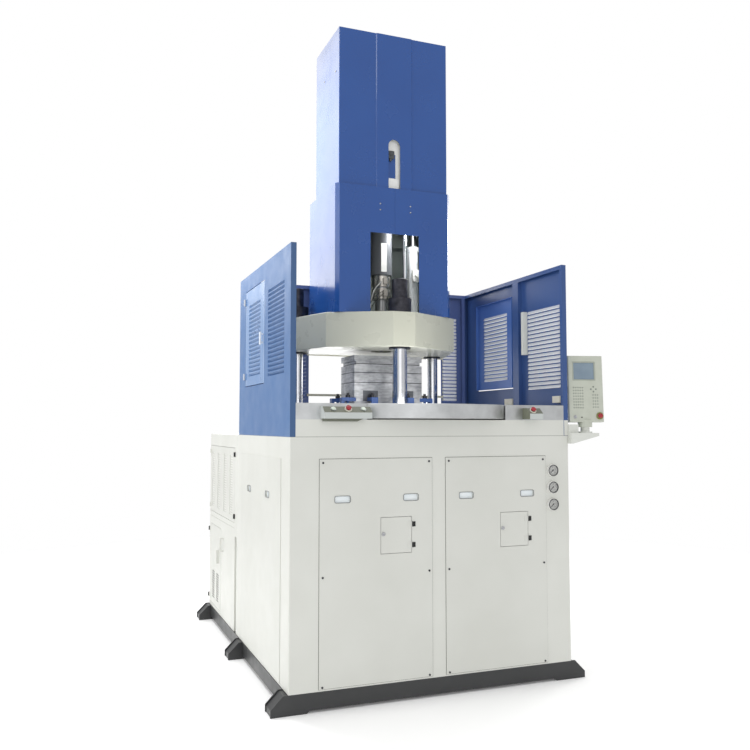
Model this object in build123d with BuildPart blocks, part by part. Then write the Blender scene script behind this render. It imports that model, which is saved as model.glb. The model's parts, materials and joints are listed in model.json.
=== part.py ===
# Vertical injection moulding machine with three tie bars and a rotary table.
# Millimetres, +Z up. While it is drawn, X = 0 is the machine's centre line, Y = 0 is the
# front face of the bed and Z = 0 is the floor. The last lines move every piece so that the
# origin is the middle of the whole machine's footprint, on the floor.
import os
from math import cos, radians, sin, sqrt

from build123d import *

# Skid
skid_length = 1696
skid_top = 93
foot_depth = 105
foot_step = 12
foot_pad_length = 172
foot_end_height = 33
foot_plate = 8
foot_recess = 4
skid_rail_width = 70
skid_rail_bottom = 20
middle_foot_front = 985

# Bed
bed_width = 1530
bed_depth = 1192
bed_wall = 6
bed_corner = 5
ledge_drop = 82
bed_top = 1352
deck_thickness = 40

# Front and side panels of the bed
panel_width = 583
panel_offset = 329
panel_bottom = 102
panel_top = 1164
panel_thickness = 3
aperture_margin = 30
screw_inset = 17
screw_rows = (1147, 612, 110)
screw_radius = 5
screw_head = 2.5
pull_offset = 177
pull_height = 973
pull_length = 78
pull_width = 31
pull_depth = 11
pull_wall = 1.5
side_panel_front = 155
side_panel_back = 1063
side_pull_rows = (422, 844)

# Access doors in the front panels
access_width = 164
access_height = 176
access_offset = 99
access_bottom = 705
access_gap = 2
access_thickness = 2.5
access_latch_radius = 9
access_latch_length = 5
access_latch_stem = 6
coin_slot = (13.5, 2.5, 2)
access_latch_edge = 14
access_latch_lift = 8
access_latch_tongue = 25
tongue_gap = 0.5
tongue_plate = 2

# Door hinges: a barrel on a leaf, with the door's own leaf ending just short of the barrel
seat_gap = 0.3
access_hinge_radius = 4
access_hinge_length = 24
access_hinge_inset = 38
access_leaf = 2
guard_hinge_radius = 6
guard_hinge_length = 36
guard_hinge_insets = (60, 60)
rear_hinge_radius = 5
rear_hinge_length = 28
door_leaf = 3
leaf_length = 22

# Pressure gauges
gauge_x = 660
gauge_heights = (1088, 1000, 911)
gauge_radius = 31
gauge_depth = 16
gauge_bezel = 4
gauge_recess = 7
needle_length = 21
needle_tail = 7
needle_width = 2.4
needle_hub = 3
needle_rest = 45

# Rear cabinet
rear_back = 2110
rear_top = 1268
rear_wall = 4
rear_recess_back = 1245
rear_recess_top = 655
rear_recess_depth = 26
upper_door_front = 1262
upper_door_back = 2096
upper_door_bottom = 735
upper_door_top = 1188
lower_door_front = 1700
lower_door_back = 2096
lower_door_bottom = 115
lower_door_top = 650
door_plate = 3
door_gap = 2
vent_length = 92
vent_width = 7
vent_pitch = 15.5
upper_vent_columns = (1375, 1575, 1790, 1990)
upper_vent_rows = 24
lower_vent_columns = (1800, 1950)
lower_vent_rows = 12
upper_vent_low = 780
lower_vent_low = 165
rear_hinge_inset = 40
seam_inset = 15
seam_width = 5
seam_depth = 2
cover_handle_y = 1612
cover_handle_z = 558
cover_handle_half = 40
cover_handle_bar = 12
cover_handle_proud = 24
catch_size = (16, 28, 8)
lower_handle_place = (72, 342)
lower_handle_size = (24, 85, 16)

# Guards round the table
guard_thickness = 27
guard_setback = 42
guard_height = 920
guard_skin = 2.5
guard_lip = 22
guard_post_front = 448
guard_post_back = 512
guard_door_front = 530
guard_door_back = 985
guard_door_bottom = 1545
guard_door_drop = 90
guard_door_gap = 5
guard_door_depth = 20
guard_door_pin_gap = 8
guard_handle_drop = 34.5
guard_handle_length = 68
guard_handle_width = 16
guard_handle_proud = 20
left_louvre_front = 115
left_louvre_low = 1578
right_louvre_front = 48
right_louvre_low = 1530
door_louvre_lift = 52
louvre_pitch = 23
louvre_height = 16
louvre_depth = 11
louvre_taper = 11
louvre_wall = 1.5
fixed_louvre_length = 330
fixed_louvre_rows = 20
door_louvre_length = 280
door_louvre_rows = 18
rear_louvre_rows = 24
rear_louvre_low = 1488
rear_window_left = -335
rear_window_right = 572
rear_window_bottom = 1442
rear_window_top = 1905
rear_rail_heights = (1513, 1765)
rear_rail_width = 14
rear_rail_depth = 6
rear_rail_lap = 12
rear_wall_gap = 0.3
rear_left_louvre_length = 330
rear_right_louvre_length = 105

# Tie bars and platens
front_bar_y = 495
rear_bar_x = 446
rear_bar_y = 1020
front_bar_radius = 42
rear_bar_radius = 35
bar_slide_clearance = 0.05
platen_bottom = 1760
platen_thickness = 195
platen_chamfer = 3
facet_half = 66
facet_front = 427
shoulder_half = 397
shoulder_y = 610
flank_half = 527
flank_y = 985
platen_back = 1092
rear_chamfer = 28
nut_radius = 66
nut_height = 78
nut_cap_height = 112
nut_cap_wall = 3
cap_space = 10
cap_bevel = 4
collar_width = 19
collar_height = 9
lower_platen_thickness = 140
crosshead_top = 490
crosshead_thickness = 110

# Clamp cylinder
clamp_y = 775
cylinder_radius = 150
cylinder_bore = 110
cylinder_bottom = 700
cylinder_flange_radius = 205
cylinder_flange = 30
cylinder_wall = 30
ram_radius = 70
piston_height = 60
piston_bottom = 880
seal_clearance = 0.05

# Rotary table
table_radius = 622
table_top = 1430
table_gap = 6
table_rim_chamfer = 2
table_bore_clearance = 6
surround_clearance = 4
slew_inner = 300
slew_outer = 345
slew_depth = 32
slew_clearance = 0.3
table_hole_radius = 9
table_hole_depth = 32
table_hole_x = 140
table_hole_y = 90
station_radius = clamp_y - front_bar_y

# Mould on the table
mould_width = 424
mould_depth = 226
mould_top = 1725
mould_parting = 1588
mould_plate = 32
mould_notch = 14
mould_notch_height = 22
sprue_radius = 26
mould_bevel = 3
sprue_depth = 8
clamp_bridge = (84, 40, 21)
clamp_heel = 16
clamp_lap = 13
clamp_stud = 8
clamp_stud_offset = 28
clamp_nut_radius = 14
clamp_nut_height = 14
clamp_stud_proud = 27

# Injection unit
axis_y = clamp_y
nozzle_hole = 55
ring_radius = 62.5
ring_depth = 16
nozzle_radius = 22
nozzle_shoulder = 36
nozzle_tip = 8
nozzle_taper = 26
nozzle_hex = 66
nozzle_top = 2067
barrel_radius = 47
barrel_top = 2640
screw_bore = 25
barrel_end = 30
screw_tip = 20
screw_tip_radius = 4
screw_clearance = 0.05
screw_drive = 38
motor_bore_depth = 40
band_radius = 58
band_height = 62
band_rows = (2070, 2142)
band_terminal = (26, 12, 34)
shroud_radius = 64
shroud_wall = 3
shroud_bottom = 2212
shroud_top = 2500
block_bottom = 2560
block_top = 2700
block_half = 262
block_front = 690
block_back = 880
block_bevel = 12
screw_relief = 4
guide_x = 155
guide_radius = 16
guide_top = 3080
guide_foot = 9
guide_foot_height = 22
shift_x = 218
shift_y = 800
shift_radius = 31
shift_top = 2405
shift_rod_radius = 15
shift_rod_bottom = 2150
shift_bore = 21
shift_gland = 30
shift_rim = 4
shift_foot = 20
motor_radius = 88
motor_height = 250
motor_bolts = 8
motor_bolt_radius = 9
motor_bolt_height = 46
hanger_height = 2790
hanger_plate = 10
hanger_half = 60
hanger_flange = 70

# Tower covers
cover_sheet = 2.5
lower_cover_half = 355
lower_cover_front = 560
lower_cover_back = 1070
lower_cover_top = 2684
lower_cover_corner = 20
window_half = 150
window_top = 2418
upper_cover_half = 336
upper_cover_front = 570
upper_cover_back = 1005
upper_cover_bottom = 2445
upper_cover_top = 3588
upper_cover_corner = 3
strip_half = 108
strip_depth = 5
slot_half = 37
slot_bottom = 2560
slot_top = 2972
cover_gap = 2

# Operator consoles on the front edge
console_depth = 72
console_low = 1356
console_front_height = 28
console_top = 1414
console_slope_run = 34
left_console = (-617, -382)
right_console = (486, 566)
button_radius = 11
button_travel = 4
mushroom_radius = 18
mushroom_height = 12
mushroom_stem = 8
mushroom_travel = 5
mushroom_neck = 3
mushroom_round = 4
button_stem = 7
button_cap = 5
stem_gap = 0.3
stem_sink = 9
console_bore_depth = 15
button_xs = (-571, -421)
left_stop_x = -497
right_stop_x = 514

# Operator panel on its arm
arm_reach = 178
arm_width = 84
arm_top = 1284
arm_root_depth = 56
arm_tip_depth = 16
arm_toe = 12
post_x = 882
post_y = 12
post_radius = 24
post_top = 1315
post_flange = 14
post_flange_height = 8
duct_x = (765, 825)
duct_y = (-10, 34)
duct_top = 1330
panel_box = (195, 358, 62)
panel_tilt = 3
panel_yaw = 14
panel_corner = 7
panel_post_gap = 0.3
panel_collar = 26
panel_collar_lap = 14
key_radius = 6
key_head = 9
key_collar = 5
key_bow = (4, 18, 12)
key_from_corner = (32, 27)
stop_from_corner = (25, 33)
screen_size = (116, 92)
screen_centre = (-9, 96)
screen_recess = 3

# Work light inside the right guard
light_length = 250
light_width = 26
light_depth = 28
light_y = 398
light_bottom = 1734

# Oil tank and pump in the rear cabinet
tank_top = 600
tank_clearance = 40
tank_wall = 5
tank_left = 260
pump_radius = 105
pump_length = 330
pump_flange = 30
pump_flange_height = 18

# Sizes worked out from the driving sizes
half_bed = bed_width / 2
ledge_height = bed_top - ledge_drop
rear_front = bed_depth
half_deck = half_bed - guard_thickness
deck_bottom = bed_top - deck_thickness
platen_top = platen_bottom + platen_thickness
table_bottom = bed_top + table_gap
lower_platen_bottom = deck_bottom - lower_platen_thickness
crosshead_bottom = crosshead_top - crosshead_thickness
bar_places = (
    (0, front_bar_y, front_bar_radius),
    (-rear_bar_x, rear_bar_y, rear_bar_radius),
    (rear_bar_x, rear_bar_y, rear_bar_radius),
)
guard_inner = half_bed - guard_thickness
guard_depth = bed_depth - guard_setback
guard_top = ledge_height + guard_height
guard_door_top = guard_top - guard_door_drop
guard_handle_height = (guard_door_bottom + guard_door_top) / 2 - guard_handle_drop
clamp_x = mould_width / 2 + clamp_stud_offset
access_hinge_shifts = (
    access_hinge_inset - access_height / 2,
    access_height / 2 - access_hinge_inset,
)
guard_pin_y = guard_door_back + guard_door_pin_gap
guard_hinge_rows = (
    guard_door_bottom + guard_hinge_insets[0],
    guard_door_top - guard_hinge_insets[1],
)
upper_pin_y = upper_door_front - rear_hinge_radius - 1
lower_pin_y = lower_door_back + rear_hinge_radius + 1
upper_hinge_rows = (upper_door_bottom + rear_hinge_inset, upper_door_top - rear_hinge_inset)
lower_hinge_rows = (lower_door_bottom + rear_hinge_inset, lower_door_top - rear_hinge_inset)

pieces = {}


def keep(name, piece):
    """Remember a finished piece under its node name."""
    piece.part.label = name
    pieces[name] = piece


def block(x_range, y_range, z_range, mode=Mode.ADD):
    """A block between two corners, in the part being built."""
    middle = [(low + high) / 2 for low, high in (x_range, y_range, z_range)]
    with Locations(tuple(middle)):
        Box(
            x_range[1] - x_range[0],
            y_range[1] - y_range[0],
            z_range[1] - z_range[0],
            mode=mode,
        )


def upright(place, radius, bottom, top, mode=Mode.ADD):
    """An upright cylinder between two heights, in the part being built."""
    with Locations((place[0], place[1], (bottom + top) / 2)):
        Cylinder(radius, top - bottom, mode=mode)


def leaf_reach(radius, leaf):
    """How far from its pin a door's leaf ends, so that it just clears the hinge's barrel."""
    return sqrt(radius**2 - (radius - leaf) ** 2) + seat_gap


# Skid: two rails on three cross feet, each foot two side plates with a lower web between
def foot_profile(drop):
    """Half of a cross foot seen from the front, as a closed outline."""
    half = skid_length / 2
    slope = skid_top - foot_end_height
    with BuildLine() as half_profile:
        Polyline(
            (0, foot_step),
            (half - foot_pad_length - foot_step, foot_step),
            (half - foot_pad_length, 0),
            (half - drop, 0),
            (half - drop, foot_end_height - drop),
            (half - slope - drop, skid_top - drop),
            (0, skid_top - drop),
            close=True,
        )
    make_face(half_profile.edges())
    mirror(about=Plane.YZ)


rear_foot_front = rear_back - foot_depth
foot_fronts = (0, middle_foot_front, rear_foot_front)
with BuildPart() as skid_frame:
    for front in foot_fronts:
        with BuildSketch(Plane.XZ.offset(-front)):
            foot_profile(0)
        extrude(amount=-foot_plate)
        with BuildSketch(Plane.XZ.offset(-front - foot_plate)):
            foot_profile(foot_recess)
        extrude(amount=-(foot_depth - 2 * foot_plate))
        with BuildSketch(Plane.XZ.offset(-front - foot_depth + foot_plate)):
            foot_profile(0)
        extrude(amount=-foot_plate)
    for side in (-1, 1):
        rail_outer = side * (half_bed + foot_recess)
        rail_inner = side * (half_bed + foot_recess - skid_rail_width)
        block(
            sorted((rail_outer, rail_inner)),
            (foot_depth - foot_plate, rear_foot_front + foot_plate),
            (skid_rail_bottom, skid_top),
        )
keep("skid_frame", skid_frame)

# Bed: a welded housing with openings behind its panels and a thick deck under the table
with BuildPart() as bed_cabinet:
    block((-half_bed, half_bed), (0, bed_depth), (skid_top, ledge_height))
    fillet(bed_cabinet.edges().filter_by(Axis.Z), radius=bed_corner)
    block((-half_deck, half_deck), (0, bed_depth), (ledge_height, bed_top))
    block(
        (bed_wall - half_bed, half_bed - bed_wall),
        (bed_wall, bed_depth - bed_wall),
        (skid_top + bed_wall, ledge_height - bed_wall),
        mode=Mode.SUBTRACT,
    )
    block(
        (bed_wall - half_deck, half_deck - bed_wall),
        (bed_wall, bed_depth - bed_wall),
        (ledge_height - 2 * bed_wall, deck_bottom),
        mode=Mode.SUBTRACT,
    )
    for side in (-1, 1):
        block(
            (
                side * panel_offset - panel_width / 2 + aperture_margin,
                side * panel_offset + panel_width / 2 - aperture_margin,
            ),
            (0, bed_wall),
            (panel_bottom + aperture_margin, panel_top - aperture_margin),
            mode=Mode.SUBTRACT,
        )
        block(
            sorted((side * half_bed, side * (half_bed - bed_wall))),
            (side_panel_front + aperture_margin, side_panel_back - aperture_margin),
            (panel_bottom + aperture_margin, panel_top - aperture_margin),
            mode=Mode.SUBTRACT,
        )
    with BuildSketch(Plane.XY.offset(bed_top)):
        with Locations((0, front_bar_y)):
            Circle(slew_outer + slew_clearance)
            Circle(slew_inner - slew_clearance, mode=Mode.SUBTRACT)
    extrude(amount=-slew_depth, mode=Mode.SUBTRACT)
    for x, y, radius in bar_places:
        upright((x, y), radius + table_bore_clearance, deck_bottom, bed_top, mode=Mode.SUBTRACT)
keep("bed_cabinet", bed_cabinet)


# Screwed panels of the bed, with finger pulls pressed into them
def pull_recesses(plane, spots, thickness):
    """Pocket each finger pull right through a panel and close it with a cup behind."""
    with BuildSketch(plane) as mouths:
        with Locations(*spots):
            RectangleRounded(pull_length, pull_width, pull_width / 4)
    extrude(mouths.sketch, amount=-thickness, mode=Mode.SUBTRACT)


def pull_cups(plane, spots):
    """The pressed cup behind each finger pull."""
    with BuildSketch(plane.offset(-pull_depth)) as cups:
        with Locations(*spots):
            RectangleRounded(
                pull_length + 2 * pull_wall, pull_width + 2 * pull_wall, pull_width / 4
            )
    extrude(cups.sketch, amount=pull_depth)
    with BuildSketch(plane.offset(pull_wall - pull_depth)) as hollows:
        with Locations(*spots):
            RectangleRounded(pull_length, pull_width, pull_width / 4)
    extrude(hollows.sketch, amount=pull_depth, mode=Mode.SUBTRACT)


def access_centre(side):
    """Middle of the access door in the front panel on one side."""
    return side * panel_offset + access_offset, access_bottom + access_height / 2


def front_panel(side):
    """A front panel with its access doorway and its two finger pulls."""
    face = Plane.XZ.offset(panel_thickness)
    spots = [(side * panel_offset + shift, pull_height) for shift in (-pull_offset, pull_offset)]
    with BuildPart() as panel:
        with BuildSketch(face):
            with Locations((side * panel_offset, (panel_bottom + panel_top) / 2)):
                Rectangle(panel_width, panel_top - panel_bottom)
            with Locations(access_centre(side)):
                Rectangle(access_width, access_height, mode=Mode.SUBTRACT)
        extrude(amount=-panel_thickness)
        pull_cups(face, spots)
        pull_recesses(face, spots, panel_thickness)
    return panel


front_panel_left = front_panel(-1)
keep("front_panel_left", front_panel_left)
front_panel_right = front_panel(1)
keep("front_panel_right", front_panel_right)

with BuildPart() as side_panels:
    for side in (-1, 1):
        face = Plane(
            origin=(side * (half_bed + panel_thickness), 0, 0),
            x_dir=(0, side, 0),
            z_dir=(side, 0, 0),
        )
        spots = [(side * row, pull_height) for row in side_pull_rows]
        with BuildSketch(face):
            middle = side * (side_panel_front + side_panel_back) / 2
            with Locations((middle, (panel_bottom + panel_top) / 2)):
                Rectangle(side_panel_back - side_panel_front, panel_top - panel_bottom)
        extrude(amount=-panel_thickness)
        pull_cups(face, spots)
        pull_recesses(face, spots, panel_thickness)
keep("side_panels", side_panels)

with BuildPart() as panel_screws:
    columns = [
        side * panel_offset + shift
        for side in (-1, 1)
        for shift in (screw_inset - panel_width / 2, panel_width / 2 - screw_inset)
    ]
    with BuildSketch(Plane.XZ.offset(panel_thickness)):
        with Locations(*[(x, z) for x in columns for z in screw_rows]):
            Circle(screw_radius)
    extrude(amount=screw_head)
keep("panel_screws", panel_screws)


# Access doors: a plate flush in its doorway, on two pin hinges, closed by a turn latch
def access_door(side):
    """The small door of one front panel, with the hole for its latch."""
    x, z = access_centre(side)
    latch = latch_place(side)
    pin_x = x + access_width / 2 + access_hinge_radius
    leaf_end = pin_x - leaf_reach(access_hinge_radius, access_leaf)
    with BuildPart() as door:
        with BuildSketch(Plane.XZ.offset(panel_thickness)):
            with Locations((x, z)):
                Rectangle(access_width - 2 * access_gap, access_height - 2 * access_gap)
            with Locations(latch):
                Circle(access_latch_stem, mode=Mode.SUBTRACT)
        extrude(amount=-access_thickness)
        for shift in access_hinge_shifts:
            block(
                (leaf_end - leaf_length, leaf_end),
                (-panel_thickness - access_leaf, -panel_thickness),
                (z + shift - access_hinge_length / 2, z + shift + access_hinge_length / 2),
            )
    return door


def latch_place(side):
    """Centre of an access door's latch, as seen from the front."""
    x, z = access_centre(side)
    return x - access_width / 2 + access_latch_edge, z + access_latch_lift


def access_latch(side):
    """A round turn latch with a slot for a coin and a tongue behind the panel."""
    x, z = latch_place(side)
    with BuildPart() as latch:
        with BuildSketch(Plane.XZ.offset(panel_thickness)):
            with Locations((x, z)):
                Circle(access_latch_radius)
        extrude(amount=access_latch_length)
        with BuildSketch(Plane.XZ.offset(panel_thickness + access_latch_length)):
            with Locations((x, z)):
                Rectangle(coin_slot[0], coin_slot[1])
        extrude(amount=-coin_slot[2], mode=Mode.SUBTRACT)
        with BuildSketch(Plane.XZ.offset(panel_thickness)):
            with Locations((x, z)):
                Circle(access_latch_stem - seal_clearance)
        extrude(amount=-panel_thickness - tongue_gap)
        block(
            (x - access_latch_tongue, x + access_latch_stem),
            (tongue_gap, tongue_gap + tongue_plate),
            (z - access_latch_stem, z + access_latch_stem),
        )
    return latch


for side, word in ((-1, "left"), (1, "right")):
    keep(f"access_door_{word}", access_door(side))
    keep(f"access_latch_{word}", access_latch(side))

# Pressure gauges: a ringed case with an open dial and a needle on its post
with BuildPart() as gauge_cases:
    for height in gauge_heights:
        with BuildSketch(Plane.XZ):
            with Locations((gauge_x, height)):
                Circle(gauge_radius)
        extrude(amount=gauge_depth)
        with BuildSketch(Plane.XZ.offset(gauge_depth)):
            with Locations((gauge_x, height)):
                Circle(gauge_radius - gauge_bezel)
        extrude(amount=-gauge_recess, mode=Mode.SUBTRACT)
    rims = gauge_cases.edges().filter_by(GeomType.CIRCLE)
    chamfer(rims.filter_by_position(Axis.Y, -gauge_depth, -gauge_depth), length=1)
keep("gauge_cases", gauge_cases)


def gauge_needle(height):
    """A tapered needle with a short tail, turning just above its dial."""
    dial = Plane(
        origin=(gauge_x, gauge_recess - gauge_depth, height),
        x_dir=(-sin(radians(needle_rest)), 0, -cos(radians(needle_rest))),
        z_dir=(0, -1, 0),
    )
    with BuildPart() as needle:
        with BuildSketch(dial.offset(1)):
            with BuildLine():
                Polyline(
                    (needle_length, 0),
                    (0, needle_width),
                    (-needle_tail, needle_width / 2),
                    (-needle_tail, -needle_width / 2),
                    (0, -needle_width),
                    close=True,
                )
            make_face()
        extrude(amount=1)
        with BuildSketch(dial):
            Circle(needle_hub)
        extrude(amount=needle_hub)
    return needle


for word, height in zip(("top", "middle", "bottom"), gauge_heights):
    keep(f"gauge_needle_{word}", gauge_needle(height))

# Rear cabinet: a closed housing with two doorways on its left side
with BuildPart() as rear_cabinet:
    block((-half_bed, half_bed), (rear_front, rear_back), (skid_top, rear_top))
    fillet(rear_cabinet.edges().filter_by(Axis.Z), radius=bed_corner)
    block(
        (rear_wall - half_bed, half_bed - rear_wall),
        (rear_recess_back + rear_wall, rear_back - rear_wall),
        (skid_top + rear_wall, rear_top - rear_wall),
        mode=Mode.SUBTRACT,
    )
    block(
        (rear_wall - half_bed, half_bed - rear_wall),
        (rear_front + rear_wall, rear_recess_back + 2 * rear_wall),
        (rear_recess_top + rear_wall, rear_top - rear_wall),
        mode=Mode.SUBTRACT,
    )
    recess_inner = half_bed - rear_recess_depth - rear_wall
    block(
        (-recess_inner, recess_inner),
        (rear_front + rear_wall, rear_recess_back + 2 * rear_wall),
        (skid_top + rear_wall, rear_recess_top + 2 * rear_wall),
        mode=Mode.SUBTRACT,
    )
    for side in (-1, 1):
        block(
            sorted((side * half_bed, side * (half_bed - rear_recess_depth))),
            (rear_front, rear_recess_back),
            (skid_top, rear_recess_top),
            mode=Mode.SUBTRACT,
        )
    doorways = (
        (upper_door_front, upper_door_back, upper_door_bottom, upper_door_top),
        (lower_door_front, lower_door_back, lower_door_bottom, lower_door_top),
    )
    for front, back, bottom, top in doorways:
        block(
            (-half_bed, rear_wall - half_bed),
            (front, back),
            (bottom, top),
            mode=Mode.SUBTRACT,
        )
    with BuildSketch(Plane.YZ.offset(-half_bed)):
        with Locations((lower_door_front - seam_inset, (lower_door_bottom + lower_door_top) / 2)):
            Rectangle(seam_width, lower_door_top - lower_door_bottom)
        with Locations(
            ((upper_door_front + upper_door_back) / 2, upper_door_bottom - 2 * seam_inset)
        ):
            Rectangle(upper_door_back - upper_door_front, seam_width)
    extrude(amount=seam_depth, mode=Mode.SUBTRACT)
    half_bar = cover_handle_bar / 2
    for end in (-cover_handle_half, cover_handle_half):
        block(
            (-half_bed - cover_handle_proud, -half_bed),
            (cover_handle_y - half_bar, cover_handle_y + half_bar),
            (cover_handle_z + end - half_bar, cover_handle_z + end + half_bar),
        )
    block(
        (-half_bed - cover_handle_proud, -half_bed - cover_handle_proud + cover_handle_bar),
        (cover_handle_y - half_bar, cover_handle_y + half_bar),
        (cover_handle_z - cover_handle_half, cover_handle_z + cover_handle_half),
    )
keep("rear_cabinet", rear_cabinet)


def vent_door(front, back, bottom, top, columns, rows, first, leaf_y, hinge_rows, fittings):
    """A side door of the rear cabinet with columns of narrow vents, its leaves and catches."""
    with BuildPart() as door:
        with BuildSketch(Plane.YZ.offset(-half_bed)):
            with Locations(((front + back) / 2, (bottom + top) / 2)):
                Rectangle(back - front - 2 * door_gap, top - bottom - 2 * door_gap)
            spots = [(y, first + row * vent_pitch) for y in columns for row in range(rows)]
            with Locations(*spots):
                Rectangle(vent_length, vent_width, mode=Mode.SUBTRACT)
        extrude(amount=door_plate)
        for z in hinge_rows:
            z_range = (z - rear_hinge_length / 2, z + rear_hinge_length / 2)
            block((-half_bed - door_leaf, -half_bed), leaf_y, z_range)
        for (y, z), (width, tall, proud) in fittings:
            y_range = (y - width / 2, y + width / 2)
            block((-half_bed - proud, -half_bed), y_range, (z - tall / 2, z + tall / 2))
    return door


door_leaf_reach = leaf_reach(rear_hinge_radius, door_leaf)
catch_y = upper_door_back - door_gap - catch_size[0]
upper_catches = [((catch_y, z), catch_size) for z in upper_hinge_rows]
rear_upper_door = vent_door(
    upper_door_front,
    upper_door_back,
    upper_door_bottom,
    upper_door_top,
    upper_vent_columns,
    upper_vent_rows,
    upper_vent_low,
    (upper_pin_y + door_leaf_reach, upper_pin_y + door_leaf_reach + leaf_length),
    upper_hinge_rows,
    upper_catches,
)
keep("rear_upper_door", rear_upper_door)

handle_place = (
    lower_door_front + lower_handle_place[0],
    lower_door_bottom + lower_handle_place[1],
)
rear_lower_door = vent_door(
    lower_door_front,
    lower_door_back,
    lower_door_bottom,
    lower_door_top,
    lower_vent_columns,
    lower_vent_rows,
    lower_vent_low,
    (lower_pin_y - door_leaf_reach - leaf_length, lower_pin_y - door_leaf_reach),
    lower_hinge_rows,
    [(handle_place, lower_handle_size)],
)
keep("rear_lower_door", rear_lower_door)


# Louvre: a hood pressed inwards from the sheet, open along its lower lip
def louvre_void(length):
    """The air space of one louvre, from the sheet's outer face to under the hood."""
    inner = length - 2 * louvre_wall
    height = louvre_height - louvre_wall
    with BuildPart() as void:
        with BuildSketch(Plane.XZ.offset(guard_skin)):
            Rectangle(inner, height, align=(Align.CENTER, Align.MIN))
        extrude(amount=-guard_skin)
        with BuildSketch(Plane.XZ):
            Rectangle(inner, height, align=(Align.CENTER, Align.MIN))
        with BuildSketch(Plane.XZ.offset(louvre_wall - louvre_depth)):
            Rectangle(inner - 2 * louvre_taper, louvre_wall, align=(Align.CENTER, Align.MIN))
        loft(ruled=True)
    return void.part


def louvre_hood(length):
    """The pressed hood of one louvre, standing inwards from the sheet's inner face."""
    with BuildPart() as hood:
        with BuildSketch(Plane.XZ):
            Rectangle(length, louvre_height, align=(Align.CENTER, Align.MIN))
        with BuildSketch(Plane.XZ.offset(-louvre_depth)):
            Rectangle(length - 2 * louvre_taper, 2 * louvre_wall, align=(Align.CENTER, Align.MIN))
        loft(ruled=True)
        add(louvre_void(length), mode=Mode.SUBTRACT)
    return hood.part


def press_louvres(length, x, y, turn, lowest, rows):
    """Cut and press a column of louvres in the sheet being built."""
    hood = louvre_hood(length)
    void = louvre_void(length)
    places = [Location((x, y, lowest + row * louvre_pitch), (0, 0, turn)) for row in range(rows)]
    with Locations(*places):
        add(void, mode=Mode.SUBTRACT)
    with Locations(*places):
        add(hood)


# Guards: folded pans whose skin is the outer face, with a lip turned in all round
def side_guard(side, louvre_front, louvre_low):
    """The guard on one side of the table, with a doorway and a block of louvres."""
    outer = side * half_bed
    inner = side * guard_inner
    skin = side * (half_bed - guard_skin)
    lip = side * (guard_inner + guard_skin)
    with BuildPart() as guard:
        block(sorted((outer, inner)), (0, guard_depth), (ledge_height, guard_top))
        block(
            sorted((skin, lip)),
            (guard_skin, guard_depth - guard_skin),
            (ledge_height + guard_skin, guard_top - guard_skin),
            mode=Mode.SUBTRACT,
        )
        block(
            sorted((lip, inner)),
            (guard_lip, guard_depth - guard_lip),
            (ledge_height + guard_lip, guard_top - guard_lip),
            mode=Mode.SUBTRACT,
        )
        block(
            sorted((skin, inner)),
            (guard_post_front, guard_post_back),
            (ledge_height + guard_skin, guard_top - guard_skin),
        )
        block(
            sorted((outer, inner)),
            (guard_door_front, guard_door_back),
            (guard_door_bottom, guard_door_top),
            mode=Mode.SUBTRACT,
        )
        middle = louvre_front + fixed_louvre_length / 2
        press_louvres(fixed_louvre_length, skin, middle, side * 90, louvre_low, fixed_louvre_rows)
    return guard


def guard_door(side):
    """The louvred door of a side guard, a folded pan like the guard itself."""
    outer = side * half_bed
    skin = side * (half_bed - guard_skin)
    depth = side * (half_bed - guard_door_depth)
    front = guard_door_front + guard_door_gap
    back = guard_door_back - guard_door_gap
    bottom = guard_door_bottom + guard_door_gap
    top = guard_door_top - guard_door_gap
    middle = (front + back) / 2
    louvre_low = bottom + door_louvre_lift
    leaf_end = guard_pin_y - leaf_reach(guard_hinge_radius, door_leaf)
    handle_y = front + guard_hinge_length / 2
    with BuildPart() as door:
        block(sorted((outer, depth)), (front, back), (bottom, top))
        block(
            sorted((skin, depth)),
            (front + guard_skin, back - guard_skin),
            (bottom + guard_skin, top - guard_skin),
            mode=Mode.SUBTRACT,
        )
        press_louvres(door_louvre_length, skin, middle, side * 90, louvre_low, door_louvre_rows)
        for z in guard_hinge_rows:
            block(
                sorted((outer, outer + side * door_leaf)),
                (leaf_end - leaf_length, leaf_end),
                (z - guard_hinge_length / 2, z + guard_hinge_length / 2),
            )
        grip = guard_handle_width / 2
        for end in (-guard_handle_length / 3, guard_handle_length / 3):
            block(
                sorted((outer, outer + side * guard_handle_proud)),
                (handle_y - grip / 2, handle_y + grip / 2),
                (guard_handle_height + end - grip / 2, guard_handle_height + end + grip / 2),
            )
        block(
            sorted((outer + side * (guard_handle_proud - grip), outer + side * guard_handle_proud)),
            (handle_y - grip, handle_y + grip),
            (
                guard_handle_height - guard_handle_length / 2,
                guard_handle_height + guard_handle_length / 2,
            ),
        )
    return door


guard_left = side_guard(-1, left_louvre_front, left_louvre_low)
keep("guard_left", guard_left)
guard_right = side_guard(1, right_louvre_front, right_louvre_low)
keep("guard_right", guard_right)
keep("guard_door_left", guard_door(-1))
keep("guard_door_right", guard_door(1))

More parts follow.
